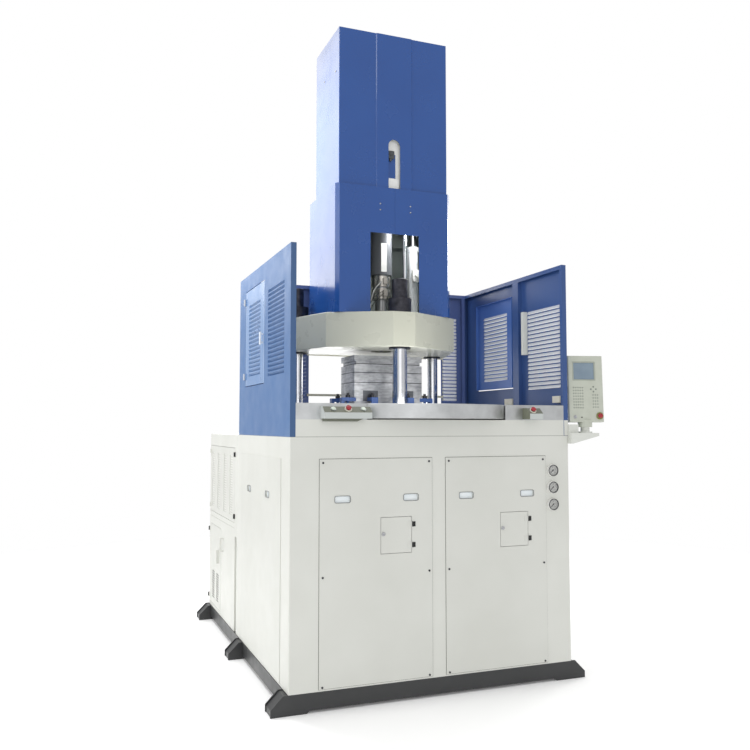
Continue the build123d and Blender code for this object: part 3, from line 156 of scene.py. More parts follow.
def gloss_enamel(name, colour, shade, roughness, coat, extra):
    """Stoved gloss enamel on folded sheet: deep colour, a clear skin and a slight wave in it."""
    material, tree, shader, place = begin(name, IOR=1.5, Coat_Weight=coat, Coat_Roughness=0.06)
    base = mottled(tree, place, 0.5, 2.0, 0.5, (colour, shade), extra)
    smear = noise(tree, place, 0.12, 4.0)
    skin(tree, shader, base, spread(tree, smear, roughness - 0.04, roughness + 0.1))
    wave = noise(tree, place, 0.06, 1.0)
    peel = noise(tree, place, 0.004, 1.0)
    relief(tree, shader, blend(tree, 0.3, wave, peel), 0.0001, 0.5)
    return material


def machined_steel(name, colour, shade, roughness, lay=(1, 1, 1), extra=None):
    """Machined steel: a fine lay from the cutter and darker oily patches."""
    material, tree, shader, place = begin(name, Metallic=1.0)
    base = mottled(tree, place, 0.08, 4.0, 0.8, (colour, shade), extra)
    lines = noise(tree, place, 0.003, 2.0, lay)
    skin(tree, shader, base, spread(tree, lines, roughness - 0.07, roughness + 0.13))
    relief(tree, shader, lines, 0.00006, 0.6)
    return material


def chrome_plate(name):
    """Hard chrome ground true: bright, with faint drawn lines up the bar and a film of oil."""
    material, tree, shader, place = begin(name, Metallic=1.0)
    base = mottled(tree, place, 0.05, 3.0, 0.5, ("E4E5E8", "B9BBC2"), stretch=(1, 1, 4))
    lines = noise(tree, place, 0.002, 2.0, (1, 1, 12))
    skin(tree, shader, base, spread(tree, lines, 0.1, 0.2))
    relief(tree, shader, lines, 0.00002, 0.4)
    return material


def black_oxide(name):
    """Blackened steel nuts: dark grey with a violet cast, oily, rubbed lighter in patches."""
    material, tree, shader, place = begin(name, Metallic=0.75)
    rub = noise(tree, place, 0.03, 5.0)
    base = blend(tree, spread(tree, rub, 0, 1), linear("2C2C31"), linear("45454C"))
    skin(tree, shader, base, spread(tree, rub, 0.5, 0.34))
    relief(tree, shader, noise(tree, place, 0.002, 2.0), 0.00005, 0.5)
    return material


def moulded_plastic(name, colour, shade, roughness=0.38, grain=0.0012, extra=None):
    """Moulded plastic: a fine spark-eroded grain and a soft, even sheen."""
    material, tree, shader, place = begin(name, IOR=1.46)
    base = mottled(tree, place, 0.05, 2.0, 0.7, (colour, shade), extra)
    texture = noise(tree, place, grain, 2.0)
    skin(tree, shader, base, spread(tree, texture, roughness - 0.04, roughness + 0.06))
    relief(tree, shader, texture, 0.00004, 0.5)
    return material


def clear_glass(name):
    """Flat gauge glass: clear, with a faint film of dust that shows only as softer gloss."""
    material, tree, shader, place = begin(name, IOR=1.5, Transmission_Weight=1.0)
    dust = noise(tree, place, 0.01, 3.0)
    base = blend(tree, spread(tree, dust, 0, 0.4), linear("FFFFFF"), linear("EDEFF0"))
    skin(tree, shader, base, spread(tree, dust, 0.01, 0.06))
    return material


def display_glass(name):
    """A switched-off display behind glass: slate blue, unevenly lit, with a glossy skin."""
    material, tree, shader, place = begin(name, IOR=1.5, Coat_Weight=0.8, Coat_Roughness=0.04)
    base = mottled(tree, place, 0.09, 1.0, 1, ("6E8192", "8395A3"))
    cells = noise(tree, place, 0.0012, 1.0)
    skin(tree, shader, base, spread(tree, cells, 0.16, 0.28))
    return material


# Fields: where a part of a piece has a finish colour of its own
def within(tree, place, axis, low, high):
    """1 between two places along an axis, in metres, and 0 elsewhere."""
    parts = add_node(tree, "ShaderNodeSeparateXYZ", inputs={0: place})
    value = parts.outputs["XYZ".index(axis)]
    over = maths(tree, "GREATER_THAN", value, low)
    under = maths(tree, "LESS_THAN", value, high)
    return maths(tree, "MULTIPLY", over, under)


def inside_box(tree, place, low, high):
    """1 inside a box between two places on the machine, in millimetres, and 0 elsewhere."""
    near, far = spot(*low), spot(*high)
    mask = within(tree, place, "X", near.x, far.x)
    for index, axis in ((1, "Y"), (2, "Z")):
        mask = maths(tree, "MULTIPLY", mask, within(tree, place, axis, near[index], far[index]))
    return mask


def fields(*boxes):
    """What paints boxes over a finish, each given by two corners and a colour."""

    def paint(tree, place, base):
        """The base with each box's colour over it."""
        for low, high, colour in boxes:
            base = blend(tree, inside_box(tree, place, low, high), base, linear(colour))
        return base

    return paint


def heights(low, high, colour):
    """What paints a finish between two heights, in metres."""

    def paint(tree, place, base):
        """The base with the colour over it between the heights."""
        return blend(tree, within(tree, place, "Z", low, high), base, linear(colour))

    return paint


def mould_plates(tree, place, base):
    """The mould is stacked from plates: their joints and its two front pockets show dark."""
    for height in (1.57, 1.627, 1.677):
        line = within(tree, place, "Z", height - 0.0018, height + 0.0018)
        base = blend(tree, line, base, linear("232426"))
    for x in (-FRONT_CLAMP_X, FRONT_CLAMP_X):
        pocket = inside_box(tree, place, (x - 46, 660, 1462), (x + 46, 662.5, 1524))
        base = blend(tree, pocket, base, linear("6C6E72"))
    streaks = noise(tree, place, 0.011, 3.0, (4, 4, 1))
    return blend(tree, spread(tree, streaks, 0.0, 0.34, 0.4, 0.66), base, linear("4B4D51"))


PRIMER = "8A9290"
# Light grey painted on pressed hoods as a painted reflection of the bright surroundings
HOOD_REFLECTION = "D4D6DA"
# Pale blue painted as highlights along the edges of the left guard's door
EDGE_HIGHLIGHT = "A9C3E2"
# The joint line between the bed's housing and the band under the table
bed_seam = heights(1.2688, 1.2712, "8F908A")
# The hinges of the guards' doors are zinc grey, the others black
guard_hinges = heights(1.45, 2.2, "C6C9CC")
# The clamps' bridges are blue, their studs and nuts dark
clamp_studs = heights(1.4835, 1.6, "2B2B30")
# The pressed hoods at the rear guard's right are painted near-white as a painted reflection of the
# bright surroundings, the rails across its window cream
rear_guard_rails_and_reflections = fields(
    ((577, 1133, 1480), (692, 1147.3, 2050), "ECEDEF"),
    ((-349, 1140.5, 1440), (586, 1147.4, 1904), "D9D6C2"),
)
# The pressed hoods of the right guard and of its door get a painted reflection: their blue enamel
# is painted light grey inside, for the bright surroundings mirrored in them
right_guard_hood_reflections = fields(((750, 46, 1525), (762.3, 380, 1995), HOOD_REFLECTION))
right_door_hood_reflections = fields(((750, 600, 1590), (762.3, 915, 2015), HOOD_REFLECTION))
# The left guard's door has painted highlights along its edges and a light grip
left_door_highlights_and_grip = fields(
    ((-766, 534, 1540), (-740, 541, 2105), EDGE_HIGHLIGHT),
    ((-766, 974, 1540), (-740, 981, 2105), EDGE_HIGHLIGHT),
    ((-790, 530, 1740), (-765.4, 590, 1836), "E9EEF2"),
)
# The left guard's front lip gets painted shade: its enamel is painted a darker blue, as the lip
# stands in shade
left_guard_lip_shade = fields(((-767, -1, 1268), (-738, 2.2, 2192), "3A5A85"))
# The covers are grey primer inside, short of the lower cover's chamfered corners
lower_cover_inside = fields(
    ((-334, 561.5, 1950), (334, 1068.5, 2681), PRIMER),
    ((-353, 592, 1950), (353, 1038, 2681), PRIMER),
)
upper_cover_inside = fields(((-334.5, 572.5, 2444), (334.5, 1003.5, 3586), PRIMER))
# The right console's near end is olive, as its slope is
console_end = fields(((483, -90, 1350), (487, 10, 1420), "6B6E5C"))

cabinet_coat = powder_coat("cabinet_powder_coat", "D9DAD4", "CFD0C9", extra=bed_seam)
# Painted shade: the panels and doors have the cabinet's cream paint, painted a little darker to
# offset the floor's bounce light on them
shaded_panel_coat = powder_coat("panel_powder_coat_painted_shade", "D6D7D1", "CCCDC6")
upper_enamel = gloss_enamel("tower_enamel", "225097", "1E478B", 0.2, 0.3, upper_cover_inside)
lower_enamel = gloss_enamel("lower_cover_enamel", "225097", "1E478B", 0.2, 0.3, lower_cover_inside)
# The guards and their doors are one blue enamel in lit and shaded copies: the left door's is
# painted lighter as painted light, the right guard's darker as painted shade, and the right door's
# and the rear guard's lighter against the shade on their inner faces
guard_enamel = gloss_enamel("guard_enamel", "466FA3", "3F669A", 0.4, 0.0, left_guard_lip_shade)
left_door = gloss_enamel("left_door_enamel_painted_light", "6A8DBC", "6185B4", 0.3, 0.0, left_door_highlights_and_grip)
right_guard = gloss_enamel("right_guard_enamel_painted_shade", "38558C", "304C80", 0.34, 0.0, right_guard_hood_reflections)
right_door = gloss_enamel("right_door_enamel_painted_light", "5075BC", "476CB2", 0.34, 0.0, right_door_hood_reflections)
rear_guard = gloss_enamel("rear_guard_enamel_painted_light", "5F72A8", "586AA0", 0.34, 0.0, rear_guard_rails_and_reflections)
clamp_enamel = gloss_enamel("clamp_enamel", "4468AC", "3B5D9E", 0.3, 0.0, clamp_studs)
platen_enamel = powder_coat("platen_enamel", "C8C9BA", "BEBFAF", 0.3)
skid_paint = powder_coat("skid_black_paint", "353637", "2A2B2C", 0.36)
table_steel = machined_steel("ground_table_steel", "D2D4D5", "B9BBBC", 0.36, (8, 8, 1))
mould_steel = machined_steel(
    "milled_mould_steel", "D2D3D5", "94969A", 0.46, (10, 10, 1), mould_plates
)
inner_steel = machined_steel("turned_steel", "A9A9AA", "8B8C8E", 0.34, (1, 1, 8))
chrome = chrome_plate("hard_chrome")
oxide = black_oxide("black_oxide_steel")
hinge_black = moulded_plastic("hinge_black_and_zinc", "1E1F20", "17181A", extra=guard_hinges)
pull_steel = machined_steel("stamped_stainless_steel", "C9CACC", "AEB0B4", 0.24, (6, 1, 1))
gauge_case = moulded_plastic("gauge_case_plastic", "E8E8E4", "DEDEDA", 0.3)
needle_paint = moulded_plastic("needle_black_paint", "151515", "1D1D1D", 0.4)
console_coat = powder_coat("console_powder_coat", "C3C8C6", "B8BDBA", 0.34, console_end)
shroud_coat = powder_coat("barrel_shroud_paint", "6A6D72", "5C5F64", 0.4)
band_steel = machined_steel("heater_band_steel", "C5C1BA", "8A8680", 0.26, (1, 1, 6))
cylinder_coat = powder_coat("cylinder_paint", "C9CCCE", "B8BBBE", 0.3)
motor_coat = powder_coat("motor_paint", "4B4E52", "3F4246", 0.4)
tank_coat = powder_coat("tank_paint", "8D9193", "7F8386", 0.4)
stop_red = moulded_plastic("stop_red_plastic", "A8323A", "93262F", 0.26)
button_white = moulded_plastic("button_white_plastic", "DDE6DA", "CBD8C8", 0.28)
panel_plastic = moulded_plastic("panel_housing_plastic", "C2C6BA", "B8BCAF", 0.36)
bracket_coat = powder_coat("bracket_powder_coat", "DCDED8", "D2D4CD", 0.4)

node_finishes = {
    cabinet_coat: ("bed_cabinet", "rear_cabinet"),
    shaded_panel_coat: (
        "front_panel_left",
        "front_panel_right",
        "side_panels",
        "access_door_left",
        "access_door_right",
        "rear_upper_door",
        "rear_lower_door",
    ),
    upper_enamel: ("tower_upper_cover",),
    lower_enamel: ("tower_lower_cover",),
    guard_enamel: ("guard_left",),
    left_door: ("guard_door_left",),
    right_guard: ("guard_right",),
    right_door: ("guard_door_right",),
    rear_guard: ("guard_rear",),
    clamp_enamel: ("mould_clamps",),
    platen_enamel: ("upper_platen", "lower_platen", "crosshead"),
    skid_paint: ("skid_frame",),
    table_steel: ("rotary_table", "table_surround"),
    mould_steel: ("mould_lower", "mould_upper"),
    inner_steel: ("slew_ring", "nozzle", "barrel", "injection_block", "screw"),
    chrome: ("tie_bars", "clamp_ram", "guide_rods"),
    oxide: ("tie_bar_nuts", "panel_screws"),
    hinge_black: ("door_hinges",),
    pull_steel: ("access_latch_left", "access_latch_right", "hmi_key"),
    gauge_case: ("gauge_cases",),
    needle_paint: ("gauge_needle_top", "gauge_needle_middle", "gauge_needle_bottom"),
    console_coat: ("console_left", "console_right"),
    shroud_coat: ("barrel_shroud",),
    band_steel: ("heater_bands",),
    cylinder_coat: ("clamp_cylinder", "shift_cylinders"),
    motor_coat: ("screw_motor", "pump_motor"),
    tank_coat: ("oil_tank",),
    stop_red: ("estop_left", "estop_right", "hmi_estop"),
    button_white: ("push_button_one", "push_button_two"),
    panel_plastic: ("hmi_housing",),
    bracket_coat: ("hmi_bracket", "work_light"),
}
for finish, names in node_finishes.items():
    for name in names:
        slots = nodes[name].material_slots
        if not slots:
            nodes[name].data.materials.append(finish)
        for slot in slots:
            slot.material = finish


# Piece helpers
def in_scene(name, data):
    """A new object in the scene."""
    made = bpy.data.objects.new(name, data)
    bpy.context.scene.collection.objects.link(made)
    return made


def piece(name, data, finish, body):
    """Put a finished mesh in the scene as a piece that rides on a body."""
    made = in_scene(name, data)
    if finish:
        data.materials.clear()
        data.materials.append(finish)
    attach(made, body)
    return made


def solid(name, shape, finish, body):
    """Turn a bmesh into a piece."""
    data = bpy.data.meshes.new(name)
    shape.to_mesh(data)
    shape.free()
    return piece(name, data, finish, body)


def plain_mesh(holder):
    """The mesh that an object's curve or modifier comes to; the object itself goes."""
    bpy.context.view_layer.update()
    evaluated = holder.evaluated_get(bpy.context.evaluated_depsgraph_get())
    data = bpy.data.meshes.new_from_object(evaluated)
    bpy.data.objects.remove(holder)
    return data


def facing(origin, normal, across=None):
    """A placement at origin whose Z is the normal and whose X runs across, level by default."""
    z = Vector(normal).normalized()
    x = Vector(across).normalized() if across else Vector((0, 0, 1)).cross(z).normalized()
    y = z.cross(x)
    return Matrix.Translation(origin) @ Matrix((x, y, z)).transposed().to_4x4()


def to_front(x, y, z):
    """A placement on the machine that faces its front."""
    return facing(spot(x, y, z), (0, -1, 0))


def upright(x, y, z):
    """A placement on the machine that faces up."""
    return Matrix.Translation(spot(x, y, z))


def rounded_outline(width, height, radius, steps=5):
    """Corner-rounded rectangle round the origin, as a list of points."""
    points = []
    for turn, (sx, sy) in enumerate(((1, 1), (-1, 1), (-1, -1), (1, -1))):
        for step in range(steps + 1):
            angle = (turn + step / steps) * pi / 2
            x = sx * (width / 2 - radius) + radius * cos(angle)
            y = sy * (height / 2 - radius) + radius * sin(angle)
            points.append((x, y))
    return points


def disc_outline(radius, steps=32):
    """Points round a circle."""
    angles = [2 * pi * step / steps for step in range(steps)]
    return [(radius * cos(angle), radius * sin(angle)) for angle in angles]


def outline_row(shape, place, outline, height):
    """Vertices on an outline at a height over a placement."""
    return [shape.verts.new(place @ Vector((x, y, height))) for x, y in outline]


def join_rows(shape, rows):
    """Faces between each two rows of vertices that follow one another."""
    for row, following in zip(rows, rows[1:]):
        for index in range(len(row)):
            after = (index + 1) % len(row)
            shape.faces.new((row[index], row[after], following[after], following[index]))


def slab(shape, place, outline, low, high, bevel=0.0):
    """Add a prism on an outline between two heights, with its top edge eased."""
    rows = [
        outline_row(shape, place, outline, low),
        outline_row(shape, place, outline, high - bevel),
    ]
    if bevel:
        reach = max(max(abs(x), abs(y)) for x, y in outline)
        shrink = 1 - bevel / reach
        eased = [(x * shrink, y * shrink) for x, y in outline]
        rows.append(outline_row(shape, place, eased, high))
    join_rows(shape, rows)
    shape.faces.new(list(reversed(rows[0])))
    shape.faces.new(rows[-1])


def turned(shape, place, profile):
    """Add a turned shape from (radius, height) pairs, the last at the axis."""
    rows = []
    for radius, height in profile[:-1]:
        rows.append(outline_row(shape, place, disc_outline(radius), height))
    shape.faces.new(list(reversed(rows[0])))
    join_rows(shape, rows)
    tip = shape.verts.new(place @ Vector((0, 0, profile[-1][1])))
    for first, second in zip(rows[-1], rows[-1][1:] + rows[-1][:1]):
        shape.faces.new((first, second, tip))


def frame_ring(shape, place, outer, inner, low, high):
    """Add a flat ring between two outlines of as many points."""
    levels = ((outer, low), (outer, high), (inner, high), (inner, low))
    rows = [outline_row(shape, place, outline, height) for outline, height in levels]
    join_rows(shape, rows + rows[:1])


# Buttons: turned heads that stay clear of their plates when they are pressed
STOP_PROFILE = (
    (0.008, -0.004),
    (0.008, 0.008),
    (0.0125, 0.008),
    (0.013, 0.0095),
    (0.013, 0.0145),
    (0.012, 0.0175),
    (0.0095, 0.0192),
    (0.006, 0.0198),
    (0.0, 0.02),
)
PUSH_PROFILE = (
    (0.0068, -0.004),
    (0.0068, 0.0046),
    (0.0104, 0.0046),
    (0.0109, 0.0053),
    (0.0109, 0.0072),
    (0.0098, 0.0083),
    (0.0065, 0.0088),
    (0.0, 0.009),
)
# Faces of a head smaller than this, in square metres, are shaded smooth
DOME_FACE_AREA = 0.00002


def button_head(node, place, profile, finish):
    """A small domed head on its stem, in place of the plain button."""
    shape = bmesh.new()
    turned(shape, place, profile)
    head = solid(f"{node}_head", shape, finish, node)
    for face in head.data.polygons:
        face.use_smooth = face.area < DOME_FACE_AREA
    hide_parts(node)


def stop_button(node, place):
    """An emergency stop with its red head."""
    button_head(node, place, STOP_PROFILE, stop_red)


# Geometry trees: screws, ticks and keys grown from points
def grown(name, tree, base, values, body):
    """Grow a piece from base points with a node tree, then keep the result as a plain mesh."""
    holder = in_scene(name, base)
    modifier = holder.modifiers.new("grow", "NODES")
    modifier.node_group = tree
    for item in tree.interface.items_tree:
        if item.in_out == "INPUT" and item.name in values:
            modifier[item.identifier] = values[item.name]
    data = plain_mesh(holder)
    data.name = name
    return piece(name, data, None, body)


def points_mesh(name, points):
    """A mesh of loose points, to grow things on."""
    data = bpy.data.meshes.new(name)
    data.from_pydata([tuple(point) for point in points], [], [])
    return data


def new_tree(name, sockets):
    """A geometry tree with a geometry input and output, a finish and the named inputs given."""
    tree = bpy.data.node_groups.new(name, "GeometryNodeTree")
    tree.interface.new_socket("Geometry", in_out="INPUT", socket_type="NodeSocketGeometry")
    for label, kind, default in (*sockets, ("Finish", "NodeSocketMaterial", None)):
        made = tree.interface.new_socket(label, in_out="INPUT", socket_type=kind)
        if default is not None:
            made.default_value = default
    tree.interface.new_socket("Geometry", in_out="OUTPUT", socket_type="NodeSocketGeometry")
    return tree, add_node(tree, "NodeGroupInput"), add_node(tree, "NodeGroupOutput")


def end_tree(tree, placed, given, outcome):
    """End a tree with real, painted geometry."""
    real = add_node(tree, "GeometryNodeRealizeInstances", inputs={0: placed.outputs[0]})
    inputs = {"Geometry": real.outputs[0], "Material": given.outputs["Finish"]}
    painted = add_node(tree, "GeometryNodeSetMaterial", inputs=inputs)
    tree.links.new(painted.outputs[0], outcome.inputs[0])


def screw_tree():
    """Button-head screws on points, turned to face Tilt."""
    sockets = (
        ("Radius", "NodeSocketFloat", 0.005),
        ("Height", "NodeSocketFloat", 0.003),
        ("Tilt", "NodeSocketVector", None),
    )
    tree, given, outcome = new_tree("screw_heads", sockets)
    shape = {
        "Vertices": 20,
        "Side Segments": 2,
        "Radius Top": maths(tree, "MULTIPLY", given.outputs["Radius"], 0.62),
        "Radius Bottom": given.outputs["Radius"],
        "Depth": given.outputs["Height"],
    }
    head = add_node(tree, "GeometryNodeMeshCone", inputs=shape)
    inputs = {
        "Points": given.outputs["Geometry"],
        "Instance": head.outputs["Mesh"],
        "Rotation": given.outputs["Tilt"],
    }
    placed = add_node(tree, "GeometryNodeInstanceOnPoints", inputs=inputs)
    end_tree(tree, placed, given, outcome)
    return tree


SCREWS = screw_tree()
TO_FRONT = (radians(90), 0, 0)
TO_LEFT = (0, radians(-90), 0)


def screws(name, points, radius, tilt, body):
    """Screw heads at the given points, facing the way tilt turns +Z."""
    values = {"Radius": radius, "Height": 0.003, "Tilt": tilt, "Finish": pull_steel}
    return grown(name, SCREWS, points_mesh(name, points), values, body)


# Gauges: printed dials with ticks and numbers under a flat glass
GAUGE_X = 660
GAUGE_ROWS = {"top": 1088, "middle": 1000, "bottom": 911}
DIAL_Y = -9
RIM_Y = -13.6
# How far the dial's numbers stand from its middle, and their height, in metres
NUMBER_REACH = 0.0155
NUMBER_SIZE = 0.0062
dial_paint = moulded_plastic("dial_white_paint", "F2F2EE", "E9E9E4", 0.5)
ink = moulded_plastic("dial_ink", "1B1B1D", "222224", 0.5)
gauge_bezel = machined_steel("gauge_bezel_steel", "5A5B5F", "3E3F43", 0.3)
gauge_glass = clear_glass("gauge_glass")


def tick_tree():
    """Ticks round part of a circle, each a small bar pointing at the middle."""
    sockets = (
        ("Count", "NodeSocketInt", 21),
        ("Radius", "NodeSocketFloat", 0.02),
        ("Length", "NodeSocketFloat", 0.003),
        ("Width", "NodeSocketFloat", 0.0006),
    )
    tree, given, outcome = new_tree("dial_ticks", sockets)
    sweep = {
        "Resolution": given.outputs["Count"],
        "Radius": given.outputs["Radius"],
        "Start Angle": radians(-45),
        "Sweep Angle": radians(270),
    }
    arc = add_node(tree, "GeometryNodeCurveArc", inputs=sweep)
    sides = {0: given.outputs["Width"], 1: given.outputs["Length"], 2: 0.0002}
    size = add_node(tree, "ShaderNodeCombineXYZ", inputs=sides)
    bar = add_node(tree, "GeometryNodeMeshCube", inputs={"Size": size.outputs[0]})
    curve = {"Curve": arc.outputs[0]}
    points = add_node(tree, "GeometryNodeCurveToPoints", {"mode": "EVALUATED"}, curve)
    inputs = {
        "Points": points.outputs["Points"],
        "Instance": bar.outputs["Mesh"],
        "Rotation": points.outputs["Rotation"],
    }
    placed = add_node(tree, "GeometryNodeInstanceOnPoints", inputs=inputs)
    end_tree(tree, placed, given, outcome)
    return tree


def printed_number(text, place):
    """A printed number as flat mesh, centred on its place."""
    curve = bpy.data.curves.new("number", "FONT")
    curve.body = text
    curve.size = NUMBER_SIZE
    curve.align_x = "CENTER"
    curve.align_y = "CENTER"
    curve.resolution_u = 2
    data = plain_mesh(in_scene("number", curve))
    data.transform(place)
    return data


def dial(word, height, ticks):
    """A gauge's plate with its ticks and numbers."""
    values = {"Count": 28, "Radius": 0.0215, "Length": 0.0028, "Width": 0.0005, "Finish": ink}
    place = to_front(GAUGE_X, DIAL_Y - 0.3, height)
    shape = bmesh.new()
    slab(shape, place, disc_outline(0.0265, 40), -0.0002, 0.0002)
    solid(f"gauge_dial_{word}", shape, dial_paint, "base")
    middle = points_mesh("dial_ticks", [(0, 0, 0)])
    marks = grown(f"gauge_ticks_{word}", ticks, middle, values, "base")
    marks.data.transform(to_front(GAUGE_X, DIAL_Y - 0.6, height))
    shape = bmesh.new()
    for step in range(5):
        angle = radians(225 - 67.5 * step)
        at = Vector((NUMBER_REACH * cos(angle), NUMBER_REACH * sin(angle), 0.0003))
        shape.from_mesh(printed_number(str(step * 5), place @ Matrix.Translation(at)))
    solid(f"gauge_numbers_{word}", shape, ink, "base")


def gauge_front(word, height):
    """A gauge's bezel and glass."""
    rim = to_front(GAUGE_X, RIM_Y, height)
    shape = bmesh.new()
    frame_ring(shape, rim, disc_outline(0.0298, 48), disc_outline(0.0262, 48), -0.001, 0.0042)
    solid(f"gauge_bezel_{word}", shape, gauge_bezel, "base")
    shape = bmesh.new()
    slab(shape, rim, disc_outline(0.0261, 48), 0.0008, 0.0022)
    solid(f"gauge_glass_{word}", shape, gauge_glass, "base")


def gauges():
    """The fronts of the three gauges."""
    ticks = tick_tree()
    for word, height in GAUGE_ROWS.items():
        dial(word, height, ticks)
        gauge_front(word, height)


gauges()

# Finger pulls: stamped stainless frames round the pressed cups of the panels
PULL_ROW = 973
PANEL_MIDDLE = 329
FRONT_PULLS = [side * PANEL_MIDDLE + shift for side in (-1, 1) for shift in (-177, 177)]
SIDE_PULLS = (422, 844)
pull_frame_steel = machined_steel("pull_frame_steel", "8C8F92", "74777B", 0.34, (6, 1, 1))
# Painted reflection: the cups sit in shade, and their lining is painted near-white for the bright
# reflection in their stainless steel
painted_reflection_lining = moulded_plastic("pull_cup_painted_reflection", "F6FBFD", "E9F2F7", 0.25)


def flush_pulls():
    """A frame and an inner lining for each finger pull; the lining is painted near-white as a
    painted reflection in the shaded cup.
    """
    places = [to_front(x, -3, PULL_ROW) for x in FRONT_PULLS]
    for side in (-1, 1):
        places += [facing(spot(side * 768, y, PULL_ROW), (side, 0, 0)) for y in SIDE_PULLS]
    outer = rounded_outline(0.0815, 0.0345, 0.009)
    inner = rounded_outline(0.0768, 0.0298, 0.0072)
    cup = rounded_outline(0.077, 0.03, 0.0072)
    frames = bmesh.new()
    linings = bmesh.new()
    for place in places:
        frame_ring(frames, place, outer, inner, 0.0001, 0.0018)
        slab(linings, place, cup, -0.0093, -0.0088)
    solid("pull_frames", frames, pull_frame_steel, "base")
    solid("pull_linings", linings, painted_reflection_lining, "base")


flush_pulls()

# Sheet edges: the shadow gap round the bed's front panels and the mats behind the rear vents
VENT_COLUMNS = (1375, 1575, 1790, 1990)
# Painted shadow: a dark ring stands in for the shade in the gap round each front panel
gap_shadow_paint = moulded_plastic("painted_gap_shadow", "55564F", "4A4B45", 0.6)
filter_mat = moulded_plastic("white_filter_mat", "F4F4F0", "E6E6E1", 0.8, 0.003)


def sheet_edges():
    """A painted shadow in the gap round each front panel and a white mat behind each column of
    vents.
    """
    outer = rounded_outline(0.587, 1.066, 0.001, 1)
    inner = rounded_outline(0.5834, 1.0624, 0.001, 1)
    shape = bmesh.new()
    for side in (-1, 1):
        frame_ring(shape, to_front(side * PANEL_MIDDLE, 0, 633), outer, inner, 0.0, 0.0004)
    solid("panel_gap_shadows", shape, gap_shadow_paint, "base")
    mat = rounded_outline(0.1, 0.37, 0.002)
    shape = bmesh.new()
    for y in VENT_COLUMNS:
        slab(shape, facing(spot(-760.4, y, 958), (-1, 0, 0)), mat, 0.0, 0.0008)
    solid("vent_mats", shape, filter_mat, "rear_upper_door")


sheet_edges()

# Operator panel: membrane keys, screen, lamp and ring on its tilted face
panel_face = joints["hmi_key_turn"]
FACE_NORMAL = Vector(panel_face["axis"])
FACE_ACROSS = Vector((0, 0, 1)).cross(FACE_NORMAL).normalized()
FACE_UP = FACE_NORMAL.cross(FACE_ACROSS)
KEY_SPOT = (-65.5, -152)
STOP_SPOT = (72.5, -146)
LAMP_SPOT = (-28, -154)
SCREEN_SPOT, SCREEN_SIZE = (-9, 96), (116, 92)
KEY_SHIFT = FACE_ACROSS * KEY_SPOT[0] * MM + FACE_UP * KEY_SPOT[1] * MM
FACE_CENTRE = Vector(panel_face["pos_m"]) - KEY_SHIFT
membrane = moulded_plastic("keypad_membrane", "A9AFA3", "9DA397", 0.3)
key_grey = moulded_plastic("key_grey_plastic", "8A9188", "767D75", 0.34)
display = display_glass("display_glass")
stop_ring_olive = moulded_plastic("stop_collar_olive", "8C8A4E", "7B7942", 0.35)
# Blocks of keys: name, place, columns, rows, pitch across and up, and key radius in metres
KEY_BLOCKS = (
    ("number_keys", (-44, -48), 5, 8, 0.0125, 0.0155, 0.0036),
    ("side_keys", (52, -66), 3, 5, 0.0125, 0.0165, 0.0036),
    ("arrow_keys_level", (42, -2), 2, 1, 0.028, 0.01, 0.005),
    ("arrow_keys_upright", (42, -2), 1, 2, 0.01, 0.026, 0.005),
)


def on_face(x, y, height=0.0):
    """A placement on the operator panel's face, in millimetres from its middle."""
    origin = FACE_CENTRE + FACE_ACROSS * x * MM + FACE_UP * y * MM + FACE_NORMAL * height * MM
    return facing(origin, FACE_NORMAL, FACE_ACROSS)


def key_tree():
    """A block of keys on a grid, each a low bevelled pad."""
    sockets = (
        ("Columns", "NodeSocketInt", 5),
        ("Rows", "NodeSocketInt", 6),
        ("Pitch Across", "NodeSocketFloat", 0.012),
        ("Pitch Up", "NodeSocketFloat", 0.014),
        ("Key Radius", "NodeSocketFloat", 0.0035),
        ("Key Height", "NodeSocketFloat", 0.0008),
    )
    tree, given, outcome = new_tree("key_block", sockets)
    spans = []
    for label, pitch in (("Columns", "Pitch Across"), ("Rows", "Pitch Up")):
        gaps = maths(tree, "SUBTRACT", given.outputs[label], 1.0)
        spans.append(maths(tree, "MULTIPLY", gaps, given.outputs[pitch]))
    cells = {
        "Size X": spans[0],
        "Size Y": spans[1],
        "Vertices X": given.outputs["Columns"],
        "Vertices Y": given.outputs["Rows"],
    }
    grid = add_node(tree, "GeometryNodeMeshGrid", inputs=cells)
    pad = {
        "Vertices": 12,
        "Radius Top": maths(tree, "MULTIPLY", given.outputs["Key Radius"], 0.8),
        "Radius Bottom": given.outputs["Key Radius"],
        "Depth": given.outputs["Key Height"],
    }
    key = add_node(tree, "GeometryNodeMeshCone", inputs=pad)
    inputs = {"Points": grid.outputs["Mesh"], "Instance": key.outputs["Mesh"]}
    placed = add_node(tree, "GeometryNodeInstanceOnPoints", inputs=inputs)
    end_tree(tree, placed, given, outcome)
    return tree


def panel_piece(name, shape, finish):
    """A piece that swivels with the operator panel."""
    solid(name, shape, finish, "operator_panel")


def panel_screen():
    """The operator panel's display and its bezel."""
    width, height = (size * MM for size in SCREEN_SIZE)
    place = on_face(*SCREEN_SPOT)
    shape = bmesh.new()
    slab(shape, place, rounded_outline(width - 0.002, height - 0.002, 0.001), -0.0028, -0.0018)
    panel_piece("panel_display", shape, display)
    outer = rounded_outline(width + 0.012, height + 0.012, 0.004)
    inner = rounded_outline(width, height, 0.001)
    shape = bmesh.new()
    frame_ring(shape, place, outer, inner, 0.0001, 0.0012)
    panel_piece("display_bezel", shape, membrane)


